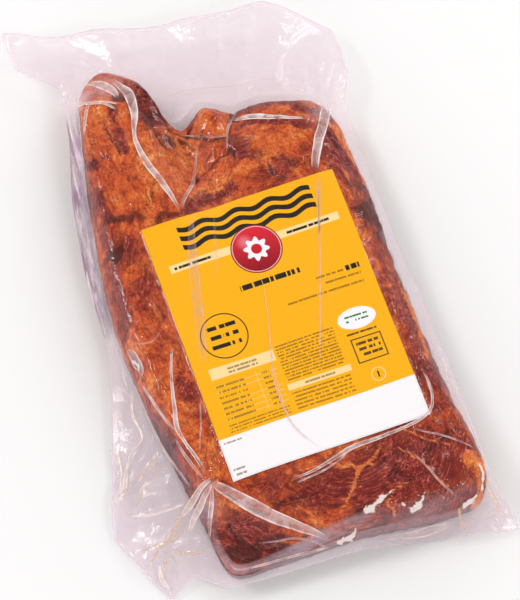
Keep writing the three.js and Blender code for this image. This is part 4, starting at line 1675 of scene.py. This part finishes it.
# %% The folds that show, and painted highlights
FOLDS_AND_GLINTS = (
    # how milky it is, then x, y and half width along its middle
    (1.0, (
        (-12, 168, 0.5), (-17, 156, 0.8), (-22, 145, 1.0), (-27, 135, 1.4), (-37, 124, 1.2),
        (-43, 113, 0.6),
    )),
    (1.0, ((27, 183, 0.6), (18, 175, 0.9), (12, 166, 0.9), (7, 150, 0.4))),
    (1.25, ((94, 168, 2.2), (91, 160, 3.8), (83, 146, 3.8), (74, 132, 3.6), (64, 112, 2.8))),
    (1.5, (
        (-88, 241, 0.6), (-87, 230, 1.0), (-83, 226, 1.2), (-71, 221, 1.2), (-65, 215, 1.0),
        (-62, 211, 0.5),
    )),
    (1.4, ((-81, 225, 0.8), (-87, 214, 1.3), (-92, 202, 0.6))),
    (1.0, ((-80, -35, 0.4), (-86, -54, 0.6), (-94, -74, 0.4))),
    (1.5, (
        (-38, -116, 0.9), (-18, -115, 1.1), (12, -108, 1.9), (32, -107, 1.5), (56, -106, 1.2),
        (72, -103, 1.2), (80, -98, 1.1), (84, -89, 1.0), (85, -77, 0.9), (83, -61, 0.4),
    )),
    (1.3, ((-35, -120, 0.6), (-8, -117, 0.7), (12, -109, 0.4))),
    (1.0, ((60, -108, 0.5), (78, -120, 0.7), (92, -131, 0.6), (100, -140, 0.3))),
    (1.0, ((54, -126, 0.3), (61, -142, 0.7), (66, -156, 0.7), (75, -170, 0.3))),
    (1.0, (
        (-3, 40, 0.3), (-11, 7, 0.4), (-17, -16, 0.7), (-21, -33, 0.8), (-23, -52, 1.0),
        (-23, -70, 0.9), (-18, -86, 0.8), (-8, -101, 0.6),
    )),
    (1.0, ((65, 109, 0.8), (45, 48, 0.7), (23, -13, 0.6), (12, -44, 0.3))),
    (1.2, (
        (-94, -96, 1.2), (-87, -104, 3.4), (-73, -120, 4.6), (-60, -134, 4.2), (-43, -149, 3.0),
        (-22, -166, 0.8),
    )),
    (1.0, ((-88, -106, 0.6), (-77, -119, 1.2), (-66, -131, 0.6))),
    (1.0, ((-75, -148, 0.3), (-48, -155, 0.6), (-24, -168, 0.5))),
    (1.0, ((-20, 180, 0.3), (-9, 171, 0.6), (0, 166, 0.6), (13, 163, 0.3))),
    (1.0, ((-17, 219, 0.3), (7, 216, 0.6), (37, 209, 0.6), (55, 206, 0.5), (64, 202, 0.3))),
    # The white lines on the near left flap follow its creases, but their white is painted highlight.
    (1.9, (
        (-122, 2, 0.4), (-128, -17, 1.0), (-127, -37, 0.7), (-138, -43, 0.8), (-145, -53, 1.2),
        (-153, -67, 0.8), (-158, -78, 1.2), (-156, -88, 0.5),
    )),
    (1.9, ((-156, -88, 0.5), (-144, -94, 0.9), (-125, -98, 0.8), (-112, -100, 0.4))),
    (1.9, ((-152, -31, 0.3), (-150, -46, 0.8), (-152, -58, 0.6), (-160, -81, 0.3))),
    (1.9, ((-146, -131, 0.4), (-148, -142, 1.6), (-144, -153, 0.5))),
    (1.55, (
        (-59, 241, 0.8), (-53, 231, 2.6), (-49, 222, 4.0), (-50, 205, 3.0), (-56, 188, 1.5),
        (-57, 178, 1.9), (-55, 161, 2.7), (-49, 140, 2.6), (-45, 122, 1.4), (-44, 112, 0.5),
    )),
    # Painted highlight: a bright line along the far edge of the right lobe.
    (1.8, ((19, 177, 0.5), (30, 173, 2.0), (42, 168, 2.2), (54, 163, 1.6), (74, 156, 0.7))),
    (1.0, ((-118, 26, 0.4), (-115, 19, 2.2), (-114, 11, 2.8), (-113, 4, 1.8), (-115, -3, 0.5))),
    (2.6, ((-117, 17, 0.8), (-114, 10, 2.2), (-114, 4, 1.0))),
    (1.6, ((-116, -3, 0.5), (-113, -20, 0.7), (-109, -38, 0.7), (-104, -54, 0.5))),
    (1.5, (
        (-85, 14, 0.7), (-92, -4, 1.0), (-96, -19, 1.2), (-100, -36, 1.6), (-103, -50, 1.7),
        (-101, -62, 1.2), (-98, -74, 1.4), (-94, -92, 1.2),
    )),
    (0.7, ((-90, 27, 0.4), (-97, 22, 0.8), (-106, 22, 0.6), (-113, 26, 0.4))),
    (1.3, ((-120, -17, 0.4), (-116, -57, 0.6), (-107, -95, 0.5))),
    (1.0, ((-107, -56, 0.4), (-103, -76, 1.0), (-97, -94, 0.6))),
    (1.45, ((-92, -95, 0.8), (-98, -97, 1.9), (-106, -100, 2.6), (-114, -104, 2.2), (-123, -107, 0.6))),
    (1.5, ((-92, -97, 0.7), (-97, -102, 1.6), (-104, -107, 2.6), (-112, -112, 2.4), (-119, -120, 0.6))),
    (1.5, ((-93, -100, 0.6), (-96, -107, 1.4), (-99, -114, 1.8), (-103, -122, 1.4), (-106, -131, 0.4))),
    # A wide pale streak over the insert: a film fold whose reflection is painted in as milk.
    (0.45, ((-37, 109, 1.6), (-46, 80, 3.4), (-55, 45, 3.9), (-64, 5, 3.3), (-68, -12, 1.0))),
    (0.3, ((-21, 103, 0.8), (-30, 72, 1.4), (-36, 52, 0.6))),
    (0.35, ((66, 106, 0.9), (58, 84, 1.3), (50, 62, 0.7))),
    (2.6, ((4, -158, 1.5), (10, -155, 4.2), (18, -154, 4.6), (25, -151, 2.6), (31, -149, 1.0))),
    (2.6, ((32, -160, 1.0), (40, -165, 2.4), (48, -163, 2.6), (53, -157, 1.4))),
    (2.5, ((-20, -166, 0.8), (-13, -166, 1.9), (-6, -165, 1.9), (-2, -162, 0.8))),
    (2.5, ((97, -150, 0.8), (99, -156, 1.6), (96, -163, 2.0), (94, -168, 0.8))),
    (2.6, ((92, -167, 1.0), (86, -170, 1.8), (77, -172, 1.0))),
    (1.3, (
        (-98, -152, 0.4), (-96, -158, 0.7), (-90, -161, 0.6), (-74, -163, 0.8), (-47, -165, 0.6),
        (-20, -167, 0.4),
    )),
    (0.9, ((12, -171, 0.4), (28, -173, 1.2), (46, -175, 2.2), (62, -176, 1.6), (74, -176, 0.4))),
    # A bright line along the long lobe's ridge: partly a fold, partly a painted highlight.
    (1.8, ((-84, 226, 0.4), (-76, 224, 0.8), (-67, 221, 0.8), (-59, 216, 0.5))),
    (1.3, ((-77, 244, 1.0), (-68, 238, 3.4), (-60, 229, 3.0), (-58, 221, 1.0))),
    (2.5, ((25, 175, 0.6), (32, 172, 1.6), (42, 168, 1.6), (52, 164, 0.6))),
    (2.5, ((-144, -30, 0.6), (-148, -42, 2.2), (-150, -54, 1.6), (-154, -62, 0.5))),
    (2.5, ((-151, -70, 0.6), (-147, -60, 1.8), (-141, -52, 0.6))),
)
FOLD_HEIGHT = 0.5
FOLD_LIFT = 0.05
film_folds_and_glints = build_ribbons("film_folds_and_glints", FOLDS_AND_GLINTS, FOLD_HEIGHT, FOLD_LIFT)

# %% [markdown]
# A fold is milkier than single film, and its rolled edges are milkier still, because light crosses more
# surfaces there. How far a point is from the fold's middle sets the mix.


# %% Fold finish
FOLD_ROSY = colour(240, 206, 206)
FOLD_WHITE = colour(255, 240, 234)
FOLD_TINT = (1.0, 0.995, 0.99, 1.0)
FOLD_CLOUD_SIZE = 11
FOLD_RELIEF = 1.5
# Across the fold, in half widths: its rolled edge, and its milkier side.
ROLLED_EDGE = (0.62, 0.9)
MILKY_SIDE = (-0.2, 0.9)
# Along the fold, in shares of its length: where it appears and runs out.
FOLD_STARTS = (0.0, 0.1)
FOLD_ENDS = (0.86, 1.0)
# Milk of the whole fold, its clouds, its milkier side and its rolled edges.
LEAST_MILK = 0.13
CLOUD_MILK = 0.25
SIDE_MILK = 0.14
EDGE_MILK = 0.4
CLOUD_EDGES = (0.3, 0.7)
EDGE_CLOUD_EDGES = (0.2, 0.5)
FAINT_FOLDS = (0.2, 0.9)
# Share of white, against rose, that comes with strength, cloud and rolled edge.
WHITE_FROM = 0.8
WHITE_BY_STRENGTH = 0.6
WHITE_BY_CLOUD = 1.2
WHITE_BY_EDGE = 0.3
GLEAM_FROM = (2.0, 2.5)
GLEAM_CLOUD_SIZE = 8
GLEAM_CONTRAST = 1.5
GLEAM_EDGE = (0.47, 0.66)
GLEAM_NARROWS = 0.4
GLEAM_STRENGTH = 0.288


def fold_finish():
    fold = Finish("folded_film_and_glints")
    place = fold.split("fold")
    across, along, strength = abs(place["X"]), place["Y"], place["Z"]
    rim = across.step(*ROLLED_EDGE)
    one_side = place["X"].step(*MILKY_SIDE)
    ends = along.step(*FOLD_STARTS) * (1 - along.step(*FOLD_ENDS))
    cloud = fold.cloud(FOLD_CLOUD_SIZE, 3, warp=0.8)
    whiter = (strength - WHITE_FROM) * WHITE_BY_STRENGTH + (cloud - 0.5) * WHITE_BY_CLOUD
    whiter = whiter + rim * WHITE_BY_EDGE
    # Gleams are painted highlights: ragged white patches in place of the fold's milk.
    gleam = strength.step(*GLEAM_FROM)
    shade = fold.mix(whiter.clamped().greatest(gleam), FOLD_ROSY, FOLD_WHITE)
    milky = fold.surface(Base_Color=shade, Roughness=0.25, Normal=fold.bump(cloud, FOLD_RELIEF))
    amount = LEAST_MILK + CLOUD_MILK * cloud.step(*CLOUD_EDGES) + SIDE_MILK * one_side
    milky_edge = EDGE_MILK * rim * cloud.step(*EDGE_CLOUD_EDGES) * strength.step(*FAINT_FOLDS)
    ragged = fold.cloud(GLEAM_CLOUD_SIZE, 2, warp=0.6) * GLEAM_CONTRAST - across * GLEAM_NARROWS
    gleam_amount = ragged.step(*GLEAM_EDGE) * gleam * GLEAM_STRENGTH
    amount = ((amount + milky_edge) * (1 - gleam) + gleam_amount) * ends * strength
    return fold.show(fold.blend(amount.clamped(), fold.see_through(FOLD_TINT), milky))


film_folds_and_glints.data.materials.append(fold_finish())

# %% [markdown]
# ## Juice in the margins
#
# A little fat and juice creeps into the margins and dries yellow along the creases, mostly in a star at the
# near left flap. It lies between the two films, so its ribbons sit just under the upper one. A stain thins
# out towards its edges, and noise breaks it into patches.

# %% Juice streaks
JUICE = (
    # how yellow it is, then x, y and half width along its middle
    (1.0, (
        (-103, -99, 2.6), (-113, -102, 3.0), (-124, -109, 2.2), (-134, -116, 2.4), (-139, -119, 2.6),
        (-150, -118, 1.5), (-163, -117, 0.5),
    )),
    (0.8, ((-110, -109, 0.6), (-120, -115, 1.6), (-129, -118, 1.5), (-134, -120, 0.6))),
    (1.0, ((-139, -123, 1.0), (-141, -129, 2.2), (-143, -136, 1.5), (-147, -144, 0.5))),
    (0.8, ((-135, -123, 0.8), (-128, -131, 1.5), (-118, -135, 1.2), (-108, -137, 0.5))),
    (0.9, ((-144, -122, 0.8), (-150, -127, 1.4), (-156, -133, 0.5))),
    (0.6, ((-136, -128, 0.4), (-134, -137, 1.2), (-138, -147, 0.4))),
    (0.8, ((-119, -54, 1.0), (-135, -62, 2.0), (-150, -69, 1.6), (-158, -72, 0.6))),
    (0.8, ((-122, -61, 0.7), (-131, -68, 1.5), (-141, -76, 1.4), (-149, -85, 0.5))),
    (1.0, ((101, -160, 1.6), (105, -170, 2.8), (108, -181, 0.6))),
    (1.0, ((75, -171, 1.0), (76, -176, 2.2), (77, -181, 1.8), (79, -186, 0.5))),
    (0.7, ((104, -20, 0.5), (106, -60, 1.2), (108, -96, 1.2), (109, -130, 0.6))),
)
JUICE_HEIGHT = 0.1
JUICE_BELOW_FILM = 0.5
JUICE_YELLOW = colour(240, 196, 120)
JUICE_FADES = (0.4, 1.0)
JUICE_PATCHES = (0.3, 0.6)
JUICE_STRENGTH = 0.7
juice_streaks = build_ribbons("juice_streaks", JUICE, JUICE_HEIGHT, -JUICE_BELOW_FILM)


def juice_finish():
    juice = Finish("dried_juice")
    place = juice.split("fold")
    core = 1 - abs(place["X"]).step(*JUICE_FADES)
    stain = juice.surface(Base_Color=JUICE_YELLOW, Roughness=0.35)
    amount = core * juice.cloud(7, 3).step(*JUICE_PATCHES) * place["Z"] * JUICE_STRENGTH
    return juice.show(juice.blend(amount.clamped(), juice.see_through((1, 1, 1, 1)), stain))


juice_streaks.data.materials.append(juice_finish())

# %% [markdown]
# ## Studio
#
# A pale floor, an even pale surround and a few soft lamps. The surround does most of the lighting, so that
# colours stay true. The lamps are small enough to leave glints on the film's folds.

# %% Floor, surround and lamps
FLOOR_SIZE = 3.0
FLOOR_DROP = 0.0006
FLOOR_PALE = (0.93, 0.93, 0.93, 1)


def build_floor():
    half = FLOOR_SIZE / 2
    mesh = bpy.data.meshes.new("floor")
    turns = ((-1, -1), (1, -1), (1, 1), (-1, 1))
    corners = [(half * x, half * y, -FLOOR_DROP) for x, y in turns]
    mesh.from_pydata(corners, [], [(0, 1, 2, 3)])
    floor = bpy.data.objects.new("floor", mesh)
    bpy.context.collection.objects.link(floor)
    pale = Finish("pale_floor")
    mesh.materials.append(pale.show(pale.surface(Base_Color=FLOOR_PALE, Roughness=0.9)))
    return floor


floor = build_floor()

ZENITH = 0.2
HORIZON = 1.42
HORIZON_ENDS = 0.2
SURROUND_SHADE = (1.0, 0.985, 0.98, 1)


def build_surround():
    """An even surround that is darker overhead, so that flat film mirrors little of it."""
    world = bpy.data.worlds.new("surround")
    bpy.context.scene.world = world
    world.use_nodes = True
    nodes, links = world.node_tree.nodes, world.node_tree.links
    where = nodes.new("ShaderNodeTexCoord")
    split = nodes.new("ShaderNodeSeparateXYZ")
    strength = nodes.new("ShaderNodeMapRange")
    spans = {"From Min": HORIZON_ENDS, "From Max": 1.0, "To Min": HORIZON, "To Max": ZENITH}
    for name, value in spans.items():
        strength.inputs[name].default_value = value
    links.new(where.outputs["Generated"], split.inputs["Vector"])
    links.new(split.outputs["Z"], strength.inputs["Value"])
    links.new(strength.outputs["Result"], nodes["Background"].inputs["Strength"])
    nodes["Background"].inputs["Color"].default_value = SURROUND_SHADE


build_surround()
LAMPS = (
    # name, direction, distance and size in metres, watts
    ("far_left_softbox", (-0.75, 0.5, 1.25), 1.9, (0.5, 0.35), 8),
    ("near_softbox", (0.45, -0.75, 1.2), 2.0, (0.6, 0.3), 6),
    ("right_strip", (1.0, 0.3, 1.2), 1.9, (0.25, 0.8), 4.5),
)
for name, direction, distance, size, watts in LAMPS:
    light = bpy.data.lights.new(name, "AREA")
    light.shape = "RECTANGLE"
    light.size, light.size_y = size
    light.energy = watts
    lamp = bpy.data.objects.new(name, light)
    towards = Vector(direction).normalized()
    lamp.location = towards * distance
    lamp.rotation_euler = towards.to_track_quat("Z", "Y").to_euler()
    bpy.context.collection.objects.link(lamp)
print("lamps:", len(LAMPS))

# %% [markdown]
# ## Camera
#
# The camera looks down steeply from the near left through a long lens, so that the pack shows almost no
# perspective. Its place follows from one spot on the insert: where that spot is seen, how many millimetres
# a pixel covers there, and how the view is turned.

# %% Camera
IMAGE_SIZE = (520, 600)
SPOT_ON_INSERT = Vector((0, 0, 54.9))
SPOT_SEEN_AT = (285.2, 324.2)
MM_PER_PIXEL = 0.75
LENS_PIXELS = 3000.0
SENSOR = 36.0
FARTHEST_SEEN = 20
TURN = math.radians(-19.6)
TILT = math.radians(68.5)

back = Vector((math.sin(TURN) * math.cos(TILT), -math.cos(TURN) * math.cos(TILT), math.sin(TILT)))
right = Vector((math.cos(TURN), math.sin(TURN), 0))
up = back.cross(right)
off_x, off_y = (
    (seen - size / 2) * MM_PER_PIXEL for seen, size in zip(SPOT_SEEN_AT, IMAGE_SIZE)
)
eye = SPOT_ON_INSERT - right * off_x + up * off_y + back * (LENS_PIXELS * MM_PER_PIXEL)

camera_data = bpy.data.cameras.new("camera")
camera_data.sensor_fit = "VERTICAL"
camera_data.sensor_height = SENSOR
camera_data.lens = SENSOR * LENS_PIXELS / IMAGE_SIZE[1]
camera_data.clip_end = FARTHEST_SEEN
camera = bpy.data.objects.new("camera", camera_data)
turn = Matrix((right, up, back)).transposed().to_4x4()
camera.matrix_world = Matrix.Translation(Vector(to_model(eye))) @ turn
bpy.context.collection.objects.link(camera)
bpy.context.scene.camera = camera
bpy.context.scene.view_settings.view_transform = "Standard"
print("the camera stands at", [round(v, 3) for v in camera.location])

# %% [markdown]
# ## Handing over
#
# Every piece rides on the pack's one body. Slab, film, folds and juice stand for the bag's solid, and the
# sheet for the insert's.

# %% Ride, replace and finish
for piece in (slab, bag_film, film_folds_and_glints, juice_streaks, insert_sheet):
    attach(piece, "root")
for piece in (slab, bag_film, film_folds_and_glints, juice_streaks):
    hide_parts("vacuum_bag")
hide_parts("printed_insert")
